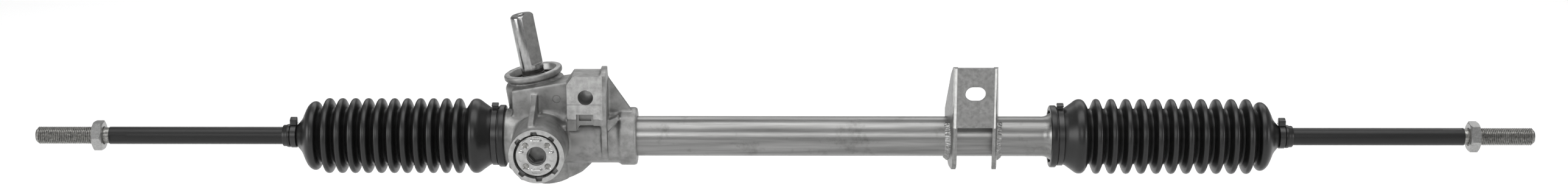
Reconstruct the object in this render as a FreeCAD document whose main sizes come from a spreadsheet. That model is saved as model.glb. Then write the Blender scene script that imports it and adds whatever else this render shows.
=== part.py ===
"""Manual rack-and-pinion steering gear of a small car, with its inner tie rods.

The pieces are modelled about the rack's axis: X runs along the rack, -Y points at the yoke boss and the
mounting faces, +Z up. The pinion crosses the rack at X = 0, behind it, and leans towards -X. Each piece
is then placed so that the origin is the mouth of the housing's bolt hole.
"""
import FreeCAD
import Part
import Sketcher
import math
import os
import re

from FreeCAD import Placement, Rotation, Vector

doc = FreeCAD.newDocument("steering_rack")

# Sizes

SIZES = {
    # mounting points
    "bolt_x": (36.7, "housing bolt hole from the pinion, along the rack"),
    "bolt_z": (39.5, "housing bolt hole above the rack's axis"),
    "mount_face": (28, "mounting faces in front of the rack's axis"),
    "bolt_bore": (12.2, "housing bolt hole"),
    "slot_x": (344.6, "bracket slot from the pinion"),
    "slot_z": (42.5, "bracket slot above the rack's axis"),
    "slot_wide": (16, "bracket slot, overall width"),
    "slot_high": (11.7, "bracket slot, height"),
    # housing barrel
    "barrel_dia": (43, "outside of the barrel"),
    "barrel_left": (-29.5, "left shoulder, where the boot ends"),
    "neck_left": (-44, "left end of the casting, inside the boot"),
    "neck_dia": (42, "seat of a boot, on casting and on tube"),
    "barrel_bore": (25, "rack's way through the casting"),
    "collar_left": (62.4, "left end of the collar"),
    "collar_right": (75.6, "right end of the collar"),
    "collar_dia": (46.6, "outside of the collar"),
    # tube
    "tube_start": (50, "tube's end inside the collar"),
    "tube_end": (419, "tube's right end"),
    "tube_dia": (32, "outside of the tube"),
    "tube_wall": (2.5, "wall of the tube"),
    "flare_start": (402, "start of the flare at the right end"),
    "flare_long": (9, "length of the flare's cone"),
    "press_gap": (0.01, "gap left in press fits"),
    # rack bar
    "rack_dia": (23, "rack bar"),
    "rack_shift": (6.9, "rack's place at rest, right of its middle"),
    "rack_gap": (0.05, "running gap of the rack"),
    "module": (2, "module of rack and pinion"),
    "teeth_flat": (7.5, "tips of the rack's teeth behind its axis"),
    "tooth_gaps": (27, "gaps between the rack's teeth"),
    "tooth_clearance": (0.4, "gap between tips and roots"),
    "backlash": (0.16, "play between the flanks"),
    "stud_dia": (16, "stud of a ball socket in the rack's end"),
    "stud_long": (20, "length of that stud"),
    "bush_nose": (8, "nose of the rack bush, before the flare"),
    "bush_lip": (1, "thickness of the bush's outer lip"),
    # pinion
    "lean": (9.8, "pinion's lean, and the helix of its teeth"),
    "pinion_teeth": (7, "teeth of the pinion"),
    "pressure": (20, "pressure angle"),
    "tooth_shift": (0.6, "profile shift of the pinion, in modules"),
    "tip_dia": (19.2, "tips of the pinion's teeth"),
    "teeth_low": (-14, "lower end of the pinion's teeth"),
    "teeth_high": (17, "upper end of the pinion's teeth"),
    "journal_dia": (12, "pinion's lower journal"),
    "journal_low": (-32, "lower end of the journal"),
    "seat_dia": (20, "pinion's bearing seat"),
    "shoulder_dia": (24, "pinion's shoulder under the bearing"),
    "shaft_dia": (18.5, "pinion's input shaft"),
    "shaft_top": (98.4, "top of the input shaft"),
    "flat_low": (57, "lower end of the flat on the shaft"),
    "flat_depth": (2.5, "depth of the flat"),
    "flat_turn": (50, "flat's direction, from the front to the right"),
    "shaft_groove": (55, "ring groove above the tower"),
    # bearing
    "bearing_dia": (37, "outside of the pinion bearing"),
    "bearing_low": (36.5, "underside of the pinion bearing"),
    "bearing_high": (9, "height of the pinion bearing"),
    "ring_wall": (2.6, "wall of the bearing's rings"),
    "ball_dia": (5, "balls of the bearing"),
    "ball_count": (10, "balls of the bearing"),
    "snap_wire": (1.2, "thickness of the snap rings"),
    # tower
    "tower_dia": (48, "outside of the tower's body"),
    "tower_ledge": (45, "foot of the tower's neck"),
    "tower_neck_dia": (41, "neck under the tower's lip"),
    "lip_dia": (46.6, "lip of the tower"),
    "lip_high": (4.6, "height of the lip"),
    "tower_top": (52, "mouth of the tower"),
    "gear_bore": (24.6, "bore round the pinion's teeth"),
    "sump_dia": (34, "lower boss of the pinion"),
    "sump_low": (-41, "underside of the lower boss"),
    "bush_wall": (3, "wall of the lower bush"),
    "front_wall": (12, "front of the tower's box"),
    "box_left": (23.3, "left edge of the tower's box, left of the pinion"),
    "box_top": (43.4, "top of the tower's box"),
    "box_low": (12, "lower edge of the tower's box"),
    # yoke boss
    "yoke_face": (58, "mouth of the yoke boss"),
    "yoke_boss_dia": (43.5, "outside of the yoke boss"),
    "yoke_bore": (34, "bore of the yoke"),
    "cap_bore": (36.1, "bore of the adjuster cap"),
    "cap_bore_deep": (13, "depth of that bore"),
    "notch_wide": (5, "staking notches, width"),
    "notch_deep": (2.2, "staking notches, depth into the rim"),
    # yoke group
    "yoke_back": (33, "back of the yoke"),
    "yoke_front": (2.5, "edge of the yoke that faces the pinion"),
    "liner_wall": (0.8, "slide liner of the yoke"),
    "ring_wire": (2.6, "section of the yoke's O-ring"),
    "pocket_dia": (24, "spring pocket of the yoke"),
    "pocket_deep": (12, "depth of that pocket"),
    "spring_wire": (3, "wire of the yoke spring"),
    "spring_dia": (20, "middle of the spring's coils"),
    "cap_face": (56.6, "front of the adjuster cap"),
    "cap_high": (8, "height of the cap's rim"),
    "cap_sheet": (1.8, "sheet of the cap"),
    "cap_hole": (15.5, "hole of the cap"),
    "cap_round": (1.4, "rounding of the cap's edge"),
    "dimple_circle": (24.6, "circle of the cap's dimples"),
    "dimple_dia": (5.4, "round dimples of the cap"),
    "hex_wide": (12, "hex socket behind the cap, across flats"),
    # mounting boss
    "boss_left": (21.6, "left face of the mounting boss"),
    "boss_right": (48.6, "right face of the boss, left of the wall"),
    "boss_top": (56.9, "top of the boss"),
    "boss_low": (12, "underside of the boss"),
    "boss_back": (4, "back of the boss, in front of the axis"),
    "boss_slope": (7, "height of the slanted corner"),
    "bore_back": (14, "rear end of the bolt boss, behind the axis"),
    "bolt_boss_dia": (24, "round boss that carries the bolt bore behind"),
    "wall_thick": (4.2, "wall right of the boss, ribs and gusset"),
    "pad_low": (22.2, "lower edge of the machined pad"),
    "pad_proud": (0.8, "machined pad above the casting"),
    "notch_left": (29, "coring notch under the bolt hole, left"),
    "notch_right": (42.6, "coring notch, right"),
    "notch_top": (25.7, "coring notch, top"),
    # bracket
    "bracket_wide": (34.4, "bracket's front plate"),
    "bracket_top": (63.5, "top of the bracket"),
    "plate_low": (15, "lower edge of the front plate"),
    "bracket_sheet": (3.2, "sheet of the bracket"),
    "bracket_splay": (7, "splay of the bracket's flanks"),
    "bracket_deep": (36, "depth of the flanks"),
    "bracket_foot": (-21, "feet of the bracket"),
    "bend": (3.2, "outer bend radius of the bracket"),
    # ball joints and tie rods
    "joint_left": (-135.6, "left ball"),
    "joint_right": (524.6, "right ball"),
    "rod_ball": (24, "ball of a tie rod"),
    "seat_wall": (1.9, "plastic ball seat"),
    "seat_gap": (0.05, "gap on both sides of the ball seat"),
    "socket_dia": (35, "outside of a ball socket"),
    "socket_back": (26, "inner face of a socket, from its ball"),
    "socket_mouth": (24, "mouth of a socket"),
    "plate_thick": (1.5, "lock plate between rack and socket"),
    "neck_rod": (12.5, "tie rod behind its ball"),
    "rod_dia": (14, "tie rod and its thread"),
    "rod_long": (272, "tie rod from its ball to its tip"),
    "thread_long": (56.5, "bare end of a tie rod"),
    "runout_long": (5.5, "turned runout beside the thread"),
    "rod_flats": (12.9, "wrench flats, across"),
    "flats_long": (17.6, "wrench flats, length"),
    "nut_wide": (22, "jam nut, across flats"),
    "nut_high": (8, "jam nut, height"),
    "nut_left_back": (5.2, "left nut from the coated rod"),
    "nut_right_back": (6.6, "right nut from the coated rod"),
    "nut_gap": (0.03, "gap of a nut on its thread"),
    # boots and clamps
    "boot_left": (-29.9, "big end of the left boot"),
    "boot_left_long": (179.2, "length of the left boot at rest"),
    "boot_right": (406.6, "big end of the right boot"),
    "boot_right_long": (195.5, "length of the right boot at rest"),
    "crest_dia": (60, "crests of a boot"),
    "valley_dia": (44.4, "valleys of a boot"),
    "boot_wall": (1.3, "rubber of a boot"),
    "boot_lip_dia": (50, "lip of a boot's big end"),
    "boot_gap": (0.05, "gap of a boot on its seats"),
    "clamp_seat_dia": (44.8, "boot under its large clamp"),
    "clamp_place": (8.2, "large clamp from the boot's end"),
    "lobe_place": (24.2, "big lobe from the boot's end"),
    "crest_first": (37.7, "first crest from the boot's end"),
    "crest_count": (11, "narrow crests of a boot"),
    "crest_last": (37, "last crest from the boot's small end"),
    "lobe_last": (25.5, "last lobe from the boot's small end"),
    "lobe_last_dia": (55.4, "last lobe"),
    "boot_neck_dia": (17, "neck of a boot"),
    "boot_neck_long": (13, "neck of a boot, length"),
    "small_place": (8.7, "small clamp from the boot's small end"),
    "clamp_wide": (4.4, "strap of a clamp"),
    "strap": (1.2, "thickness of a strap"),
    "head_wide": (5.4, "head of a clamp, along the rack"),
    "large_head": (27.4, "top of a large clamp's head above the rack's axis"),
    "small_head": (15.2, "top of a small clamp's head above the rack's axis"),
    "head_long": (7, "head of a clamp, round the rack"),
}

sheet = doc.addObject("Spreadsheet::Sheet", "Sizes")
for row, (alias, (value, meaning)) in enumerate(SIZES.items(), start=1):
    sheet.set("A%d" % row, meaning)
    sheet.set("B%d" % row, str(value))
    sheet.setAlias("B%d" % row, alias)
doc.recompute()


def bind(text):
    """An expression written with bare size names, turned into one that reads the sheet."""
    return re.sub(r"[a-z]\w*", lambda word: "Sizes." + word[0] if word[0] in SIZES else word[0], str(text))


def number(text):
    """The value of an expression at the present sizes."""
    result = sheet.evalExpression(bind(text))
    return float(getattr(result, "Value", result))


# Building blocks

FINISHED = []
TURNED_IN_PLANE = Placement(Vector(), Rotation(Vector(0, 0, 1), 1))


def place(piece, back="0"):
    """Binds a piece's place to the bolt hole, and hands it in for export.

    The distance back is that of the piece's own origin behind the rack's axis.
    """
    piece.setExpression("Placement.Base.x", bind("-bolt_x"))
    piece.setExpression("Placement.Base.y", bind("mount_face + (%s)" % back))
    piece.setExpression("Placement.Base.z", bind("-bolt_z"))
    FINISHED.append(piece)


def new_body(label):
    body = doc.addObject("PartDesign::Body", label)
    body.Label = label
    return body


def new_sketch(body, name, role, away="0", lean=None):
    """A sketch on one of the body's own planes, moved along the plane's normal and turned in it."""
    sketch = body.newObject("Sketcher::SketchObject", name)
    plane = next(item for item in body.Origin.OriginFeatures if item.Role == role)
    sketch.AttachmentSupport = [(plane, "")]
    sketch.MapMode = "FlatFace"
    if lean:
        sketch.AttachmentOffset = TURNED_IN_PLANE
        sketch.setExpression("AttachmentOffset.Rotation.Angle", bind(lean))
    sketch.setExpression("AttachmentOffset.Base.z", bind(away))
    return sketch


def pin_point(sketch, geometry, position, across, up):
    """Fixes one point of a sketch with two bound distances from its origin."""
    for kind, text in (("DistanceX", across), ("DistanceY", up)):
        constraint = Sketcher.Constraint(kind, -1, 1, geometry, position, number(text))
        index = sketch.addConstraint(constraint)
        sketch.setExpression("Constraints[%d]" % index, bind(text))


def outline(sketch, corners):
    """A closed outline. A corner is (across, up), or (across, up, radius, way) where an arc starts.

    The way is 1 for an arc that runs counterclockwise to the next corner and -1 for the other. A half
    circle has to stand upright, and its middle is fixed instead of its radius.
    """
    points = [Vector(number(corner[0]), number(corner[1])) for corner in corners]
    edges = []
    for index, corner in enumerate(corners):
        start = points[index]
        end = points[(index + 1) % len(points)]
        if len(corner) == 2:
            edges.append((sketch.addGeometry(Part.LineSegment(start, end)), 1, 2))
            continue
        radius = number(corner[2])
        chord = end - start
        height = math.sqrt(max(radius ** 2 - (chord.Length / 2) ** 2, 0))
        side = Vector(-chord.y, chord.x).normalize() * corner[3]
        centre = start + chord * 0.5 + side * height
        angles = [math.atan2(point.y - centre.y, point.x - centre.x) for point in (start, end)]
        circle = Part.Circle(centre, Vector(0, 0, 1), radius)
        if corner[3] > 0:
            edges.append((sketch.addGeometry(Part.ArcOfCircle(circle, angles[0], angles[1])), 1, 2))
        else:
            edges.append((sketch.addGeometry(Part.ArcOfCircle(circle, angles[1], angles[0])), 2, 1))
    for index, (edge, first, last) in enumerate(edges):
        following, following_first, _ = edges[(index + 1) % len(edges)]
        sketch.addConstraint(Sketcher.Constraint("Coincident", edge, last, following, following_first))
        pin_point(sketch, edge, first, corners[index][0], corners[index][1])
        if len(corners[index]) > 2:
            radius = number(corners[index][2])
            if abs(2 * radius - points[index].distanceToPoint(points[(index + 1) % len(points)])) < 1e-6:
                middle = Sketcher.Constraint("DistanceX", -1, 1, edge, 3, number(corners[index][0]))
                sketch.setExpression("Constraints[%d]" % sketch.addConstraint(middle), bind(corners[index][0]))
                continue
            size = Sketcher.Constraint("Radius", edge, radius)
            sketch.setExpression("Constraints[%d]" % sketch.addConstraint(size), bind(corners[index][2]))
    return sketch


def ring(sketch, across, up, diameter):
    """A circle with a bound centre and diameter."""
    circle = Part.Circle(Vector(number(across), number(up)), Vector(0, 0, 1), number(diameter) / 2)
    edge = sketch.addGeometry(circle)
    pin_point(sketch, edge, 3, across, up)
    size = Sketcher.Constraint("Diameter", edge, number(diameter))
    sketch.setExpression("Constraints[%d]" % sketch.addConstraint(size), bind(diameter))
    return sketch


def settle(body, feature, before=None):
    """Recomputes, and stops at a feature that fails or that takes nothing away where it should."""
    feature.Refine = False
    doc.recompute()
    if "Invalid" in feature.State or not feature.Shape.Solids or not feature.Shape.isValid():
        raise RuntimeError("%s fails: %s" % (feature.Name, feature.getStatusString()))
    if before is not None and body.Shape.Volume > before - 0.01:
        raise RuntimeError("%s cuts nothing" % feature.Name)
    return feature


def pad(body, sketch, length, both_ways=False):
    feature = body.newObject("PartDesign::Pad", sketch.Name + "_pad")
    feature.Profile = sketch
    feature.setExpression("Length", bind(length))
    feature.Midplane = both_ways
    return settle(body, feature)


def cut(body, sketch, length=None, both_ways=False, reverse=False):
    """A pocket of a bound depth, or right through; it has to take something away."""
    before = body.Shape.Volume
    feature = body.newObject("PartDesign::Pocket", sketch.Name + "_pocket")
    feature.Profile = sketch
    feature.Reversed = reverse
    if length:
        feature.setExpression("Length", bind(length))
    else:
        feature.Type = "ThroughAll"
    feature.Midplane = both_ways
    return settle(body, feature, before)


def turn(body, sketch, axis, groove=False):
    """A revolution, or a groove, of a sketch about one of its own axes."""
    before = body.Shape.Volume if groove else None
    kind = "PartDesign::Groove" if groove else "PartDesign::Revolution"
    feature = body.newObject(kind, sketch.Name + "_turned")
    feature.Profile = sketch
    feature.ReferenceAxis = (sketch, [axis])
    feature.Angle = 360
    return settle(body, feature, before)


def round_edges(body, radius, wanted, chamfer=False):
    """A fillet or chamfer on the edges of the tip that the test picks out."""
    tip = body.Tip
    names = ["Edge%d" % (i + 1) for i, edge in enumerate(tip.Shape.Edges) if wanted(edge)]
    if not names:
        raise RuntimeError("%s has no such edge to round" % body.Label)
    kind = "Chamfer" if chamfer else "Fillet"
    feature = body.newObject("PartDesign::" + kind, body.Label + "_" + kind.lower())
    feature.Base = (tip, names)
    feature.setExpression("Size" if chamfer else "Radius", bind(radius))
    return settle(body, feature)


def polar(body, feature, axis, count):
    """Repeats a feature evenly round an axis of its own sketch."""
    pattern = body.newObject("PartDesign::PolarPattern", feature.Name + "_round")
    pattern.Originals = [feature]
    pattern.Axis = axis
    pattern.Angle = 360
    pattern.setExpression("Occurrences", bind(count))
    body.Tip = pattern
    return settle(body, pattern)


def turned(label, corners, about="rack"):
    """A body turned about the rack's, the pinion's or the yoke's axis from its half section.

    The section's corners are (along, radius) about the rack, and (radius, along) about the others.
    """
    body = new_body(label)
    if about == "rack":
        sketch = new_sketch(body, label + "_section", "XZ_Plane")
    elif about == "pinion":
        sketch = new_sketch(body, label + "_section", "XZ_Plane", away="-" + PINION_BACK, lean="lean")
    else:
        sketch = new_sketch(body, label + "_section", "XY_Plane")
    outline(sketch, corners)
    turn(body, sketch, "H_Axis" if about == "rack" else "V_Axis")
    return body


def own_shape(label, shape, rotation, back):
    """A feature whose shape is set directly, in a frame of its own that is then turned and placed."""
    feature = doc.addObject("Part::Feature", label)
    feature.Label = label
    feature.Shape = shape
    feature.Placement = Placement(Vector(), rotation)
    place(feature, back)


# Gear geometry that several pieces share

PITCH_RADIUS = "(module * pinion_teeth / 2 / cos(lean))"
RACK_LINE = "(%s + tooth_shift * module)" % PITCH_RADIUS
RACK_TIP = "(%s - module)" % RACK_LINE
PINION_BACK = "(teeth_flat + %s)" % RACK_TIP
TOOTH_ROOT = "(teeth_flat - (tip_dia / 2 + tooth_clearance - %s))" % RACK_TIP
PITCH = "(pi * module)"
UPRIGHT = Rotation(Vector(0, 1, 0), -number("lean"))
FORWARD = Rotation(Vector(1, 0, 0), 90)


def pinion_frame():
    """The pinion's own frame: origin where it crosses the rack's plane, +Z up its axis."""
    return Placement(Vector(0, number(PINION_BACK), 0), UPRIGHT)


# Housing

def make_housing():
    body = new_body("housing")
    box = new_sketch(body, "tower_box", "XZ_Plane", away="-" + PINION_BACK, lean="lean")
    outline(box, [
        (box_edge("box_low"), "box_low"), (box_edge("box_top"), "box_top"),
        ("boss_left + 9", "box_top"), ("boss_left + 6", "box_low")])
    pad(body, box, PINION_BACK + " + front_wall")
    round_edges(body, "2", lambda edge: is_box_corner(edge))

    barrel = new_sketch(body, "barrel", "XZ_Plane")
    outline(barrel, [
        ("neck_left", "0"), ("neck_left", "neck_dia / 2 - 1"), ("neck_left + 1", "neck_dia / 2"),
        ("barrel_left", "neck_dia / 2"), ("barrel_left", "barrel_dia / 2 + 0.6"),
        ("barrel_left + 3", "barrel_dia / 2"), ("collar_left - 1.5", "barrel_dia / 2"),
        ("collar_left", "collar_dia / 2 - 0.8"), ("collar_left + 0.8", "collar_dia / 2"),
        ("collar_right - 2", "collar_dia / 2"), ("collar_right", "collar_dia / 2 - 1.6"),
        ("collar_right", "0")])
    turn(body, barrel, "H_Axis")

    wall = new_sketch(body, "boss_wall", "YZ_Plane", away="boss_right - 0.5")
    outline(wall, [
        ("-mount_face + 0.6", "boss_low + 6"), ("-mount_face + 0.6", "boss_top"),
        ("-mount_face + 5", "boss_top + 3"), ("-boss_back - 3", "boss_top + 3"),
        ("8.5", "bolt_z - 4.5"), ("8.5", "0.5"), ("-10", "-barrel_dia / 2 + 3"),
        ("-barrel_dia / 2 + 3", "-14"), ("-barrel_dia / 2 - 2.4", "-4")])
    pad(body, wall, "wall_thick + 0.5")

    tower = new_sketch(body, "tower", "XZ_Plane", away="-" + PINION_BACK, lean="lean")
    outline(tower, [
        ("0", "sump_low"), ("sump_dia / 2 - 4", "sump_low"), ("sump_dia / 2", "sump_low + 4"),
        ("sump_dia / 2 + 1", "-15"), ("tower_dia / 2 + 1.2", "-8"), ("tower_dia / 2", "tower_ledge - 4"),
        ("tower_dia / 2 - 0.9", "tower_ledge - 1.6"), ("tower_dia / 2 - 2.6", "tower_ledge - 0.3"),
        ("tower_neck_dia / 2", "tower_ledge"), ("tower_neck_dia / 2", "tower_top - lip_high - 1.2"),
        ("lip_dia / 2", "tower_top - lip_high + 0.4"),
        ("lip_dia / 2", "tower_top"), ("0", "tower_top")])
    turn(body, tower, "V_Axis")
    round_edges(body, "lip_high * 0.4", lambda edge: is_lip_edge(edge))

    yoke_boss = new_sketch(body, "yoke_boss", "XY_Plane")
    outline(yoke_boss, [
        ("0", "-4"), ("0", "-yoke_face"), ("yoke_boss_dia / 2", "-yoke_face"),
        ("yoke_boss_dia / 2 + 0.3", "-barrel_dia / 2 - 1"), ("yoke_boss_dia / 2 + 1.8", "-barrel_dia / 2 + 3"),
        ("yoke_boss_dia / 2 + 1.8", "-4")])
    turn(body, yoke_boss, "V_Axis")

    boss = new_sketch(body, "mounting_boss", "XZ_Plane", away="boss_back")
    outline(boss, [
        ("boss_left", "boss_low"), ("notch_left + 0.6", "boss_low"), ("notch_left + 2.2", "boss_low + 4"),
        ("boss_right", "boss_low + 4"), ("boss_right", "boss_top"), ("boss_left + 4.8", "boss_top"),
        ("boss_left", "boss_top - boss_slope")])
    pad(body, boss, "mount_face - pad_proud - boss_back")
    land = new_sketch(body, "machined_pad", "XZ_Plane", away="boss_back")
    outline(land, [
        ("boss_left + 0.6", "pad_low"), ("boss_right", "pad_low"), ("boss_right", "boss_top - 1"),
        ("boss_left + 5.2", "boss_top - 1"), ("boss_left + 0.6", "boss_top - boss_slope")])
    pad(body, land, "mount_face - boss_back")

    bolt_boss = new_sketch(body, "bolt_boss", "XZ_Plane", away="-bore_back")
    ring(bolt_boss, "bolt_x", "bolt_z", "bolt_boss_dia")
    pad(body, bolt_boss, "bore_back + mount_face - 4")
    web = new_sketch(body, "boss_web", "XZ_Plane", away="-bore_back + 4")
    outline(web, [
        ("-2", "4"), ("boss_right + 1", "4"), ("boss_right + 1", "bolt_z - 4"),
        ("bolt_x", "bolt_z + bolt_boss_dia / 2 - 2"), ("4", "bolt_z + 2")])
    pad(body, web, "bore_back + boss_back")

    gusset = new_sketch(body, "gusset", "XZ_Plane", away="2")
    outline(gusset, [
        ("boss_right + 1.5", "4.5"), ("collar_right - 4", "4.5"), ("collar_right - 4", "collar_dia / 2 - 0.6"),
        ("boss_right + wall_thick", "boss_top - 6"), ("boss_right + 1.5", "boss_top - 6")])
    pad(body, gusset, "wall_thick")

    rib = new_sketch(body, "tower_rib", "YZ_Plane", away="-4.9 - wall_thick / 2")
    outline(rib, [
        ("-front_wall + 2", "10"), ("-front_wall + 2", "box_top - 4.4"),
        ("-front_wall - 1", "box_top - 5.6"), ("-yoke_face + 7", "yoke_boss_dia / 2 + 0.6"),
        ("-yoke_face + 7", "10")])
    pad(body, rib, "wall_thick")

    keel = new_sketch(body, "sump_keel", "XZ_Plane", away="-" + PINION_BACK + " - 4")
    outline(keel, [
        ("barrel_left + 0.4", "-8"), ("barrel_left + 0.4", "sump_low + 13"), ("-26.6", "sump_low + 11"),
        ("-19.6", "sump_low + 2.4"), ("-9", "sump_low + 0.4"), ("0", "sump_low + 0.4"),
        ("15.6", "sump_low + 3"), ("23", "sump_low + 6"), ("30", "sump_low + 9.6"),
        ("38", "sump_low + 17"), ("40", "-8")])
    pad(body, keel, "14")

    # bores and cuts, after all that is cast
    way = new_sketch(body, "rack_way", "XZ_Plane")
    outline(way, [
        ("neck_left - 1", "0"), ("neck_left - 1", "barrel_bore / 2 + 2"), ("neck_left + 1", "barrel_bore / 2"),
        ("tube_start", "barrel_bore / 2"), ("tube_start", "tube_dia / 2 + press_gap"),
        ("collar_right + 1", "tube_dia / 2 + press_gap"), ("collar_right + 1", "0")])
    turn(body, way, "H_Axis", groove=True)
    shaft_way = new_sketch(body, "pinion_way", "XZ_Plane", away="-" + PINION_BACK, lean="lean")
    outline(shaft_way, [
        ("0", "journal_low - 2"), ("journal_dia / 2 + bush_wall + press_gap", "journal_low - 2"),
        ("journal_dia / 2 + bush_wall + press_gap", "teeth_low - 2"), ("gear_bore / 2", "teeth_low - 2"),
        ("gear_bore / 2", "bearing_low - 4"), ("bearing_dia / 2 - 2", "bearing_low - 4"),
        ("bearing_dia / 2 - 2", "bearing_low"), ("bearing_dia / 2 + press_gap", "bearing_low"),
        ("bearing_dia / 2 + press_gap", "bearing_low + bearing_high"),
        ("bearing_dia / 2 + 0.9", "bearing_low + bearing_high"),
        ("bearing_dia / 2 + 0.9", "bearing_low + bearing_high + snap_wire + 0.05"),
        ("bearing_dia / 2 + press_gap", "bearing_low + bearing_high + snap_wire + 0.05"),
        ("bearing_dia / 2 + press_gap", "tower_top - 0.8"), ("bearing_dia / 2 + 0.8", "tower_top + 0.1"),
        ("0", "tower_top + 0.1")])
    turn(body, shaft_way, "V_Axis", groove=True)
    yoke_way = new_sketch(body, "yoke_way", "XY_Plane")
    outline(yoke_way, [
        ("0", "0"), ("yoke_bore / 2", "0"), ("yoke_bore / 2", "-yoke_face + cap_bore_deep"),
        ("cap_bore / 2", "-yoke_face + cap_bore_deep"), ("cap_bore / 2", "-yoke_face - 1"),
        ("0", "-yoke_face - 1")])
    turn(body, yoke_way, "V_Axis", groove=True)
    bolt_way = new_sketch(body, "bolt_way", "XZ_Plane", away="mount_face + 1")
    ring(bolt_way, "bolt_x", "bolt_z", "bolt_bore")
    cut(body, bolt_way, "mount_face + bore_back + 2")
    coring = new_sketch(body, "coring_notch", "XZ_Plane", away="mount_face + 1")
    outline(coring, [
        ("notch_left", "boss_low - 4"), ("notch_right", "boss_low - 4"), ("notch_right", "notch_top"),
        ("notch_left", "notch_top")])
    cut(body, coring, "9")
    make_notches(body)
    round_edges(body, "1.4", lambda edge: is_boss_edge(edge))
    place(body)


def box_edge(level):
    """Where the box's upright left edge crosses a level up the leaning pinion axis."""
    return "(%s * sin(lean) - box_left) / cos(lean)" % level


def local(point, frame):
    """A point in the frame of a placement."""
    return frame.inverse().multVec(point)


def is_lip_edge(edge):
    """The upper and lower rims of the tower's lip."""
    middle = local(edge.CenterOfMass, pinion_frame())
    level = min(abs(middle.z - number(text)) for text in ("tower_top", "tower_top - lip_high + 0.4"))
    return level < 0.05 and abs(edge.Length - math.pi * number("lip_dia")) < 0.5


def is_box_corner(edge):
    """The front left upright corner and the upper front edge of the tower's box."""
    middle = local(edge.CenterOfMass, pinion_frame())
    front = abs(edge.CenterOfMass.y + number("front_wall")) < 0.05
    left = abs(edge.CenterOfMass.x + number("box_left")) < 0.05
    top = abs(middle.z - number("box_top")) < 0.05
    return front and (left or top) and edge.Length > 10


def is_boss_edge(edge):
    """The long upper and left edges of the mounting boss that run front to back."""
    if len(edge.Vertexes) < 2:
        return False
    ends = [vertex.Point for vertex in edge.Vertexes]
    along_y = abs(abs(ends[0].y - ends[1].y) - edge.Length) < 0.01 and edge.Length > 10
    corners = (("boss_left", "boss_top - boss_slope"), ("boss_left + 4.8", "boss_top"))
    return along_y and any(
        abs(ends[0].x - number(x)) < 0.05 and abs(ends[0].z - number(z)) < 0.05 for x, z in corners)


NOTCHES = (95, 50, -40, -85, -130, 140)


def make_notches(body):
    """Six of eight staking notches, 45 degrees apart, in the rim of the yoke boss."""
    for index, angle in enumerate(NOTCHES):
        sketch = new_sketch(body, "notch_%d" % index, "XZ_Plane", away="yoke_face", lean=str(angle - 90))
        inner = "cap_bore / 2 - 2"
        outer = "cap_bore / 2 + notch_deep"
        outline(sketch, [
            ("-notch_wide / 2 - 0.8", inner), ("notch_wide / 2 + 0.8", inner),
            ("notch_wide / 2 - 0.4", outer), ("-notch_wide / 2 + 0.4", outer)])
        cut(body, sketch, "5")


make_housing()

# Rack tube, bush and bracket

INNER = "tube_dia / 2 - tube_wall"
FLARED = "neck_dia / 2"
tube = turned("rack_tube", [
    ("tube_start", INNER), ("tube_start", "tube_dia / 2 - 1"), ("tube_start + 2", "tube_dia / 2"),
    ("flare_start", "tube_dia / 2"), ("flare_start + flare_long", FLARED),
    ("tube_end - 1", FLARED), ("tube_end", FLARED + " - 1"),
    ("tube_end", FLARED + " - tube_wall"), ("flare_start + flare_long", FLARED + " - tube_wall"),
    ("flare_start", INNER)])
place(tube)

RACK_BORE = "rack_dia / 2 + rack_gap"
BUSH_OUT = FLARED + " - tube_wall - press_gap"
bush = turned("rack_bush", [
    ("flare_start - bush_nose", RACK_BORE), ("flare_start - bush_nose", INNER + " - press_gap"),
    ("flare_start + 0.1", INNER + " - press_gap"), ("flare_start + flare_long + 0.3", BUSH_OUT),
    ("tube_end", BUSH_OUT), ("tube_end", BUSH_OUT + " + 1.4"), ("tube_end + bush_lip", BUSH_OUT + " + 1.4"),
    ("tube_end + bush_lip", RACK_BORE)])
place(bush)


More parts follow.
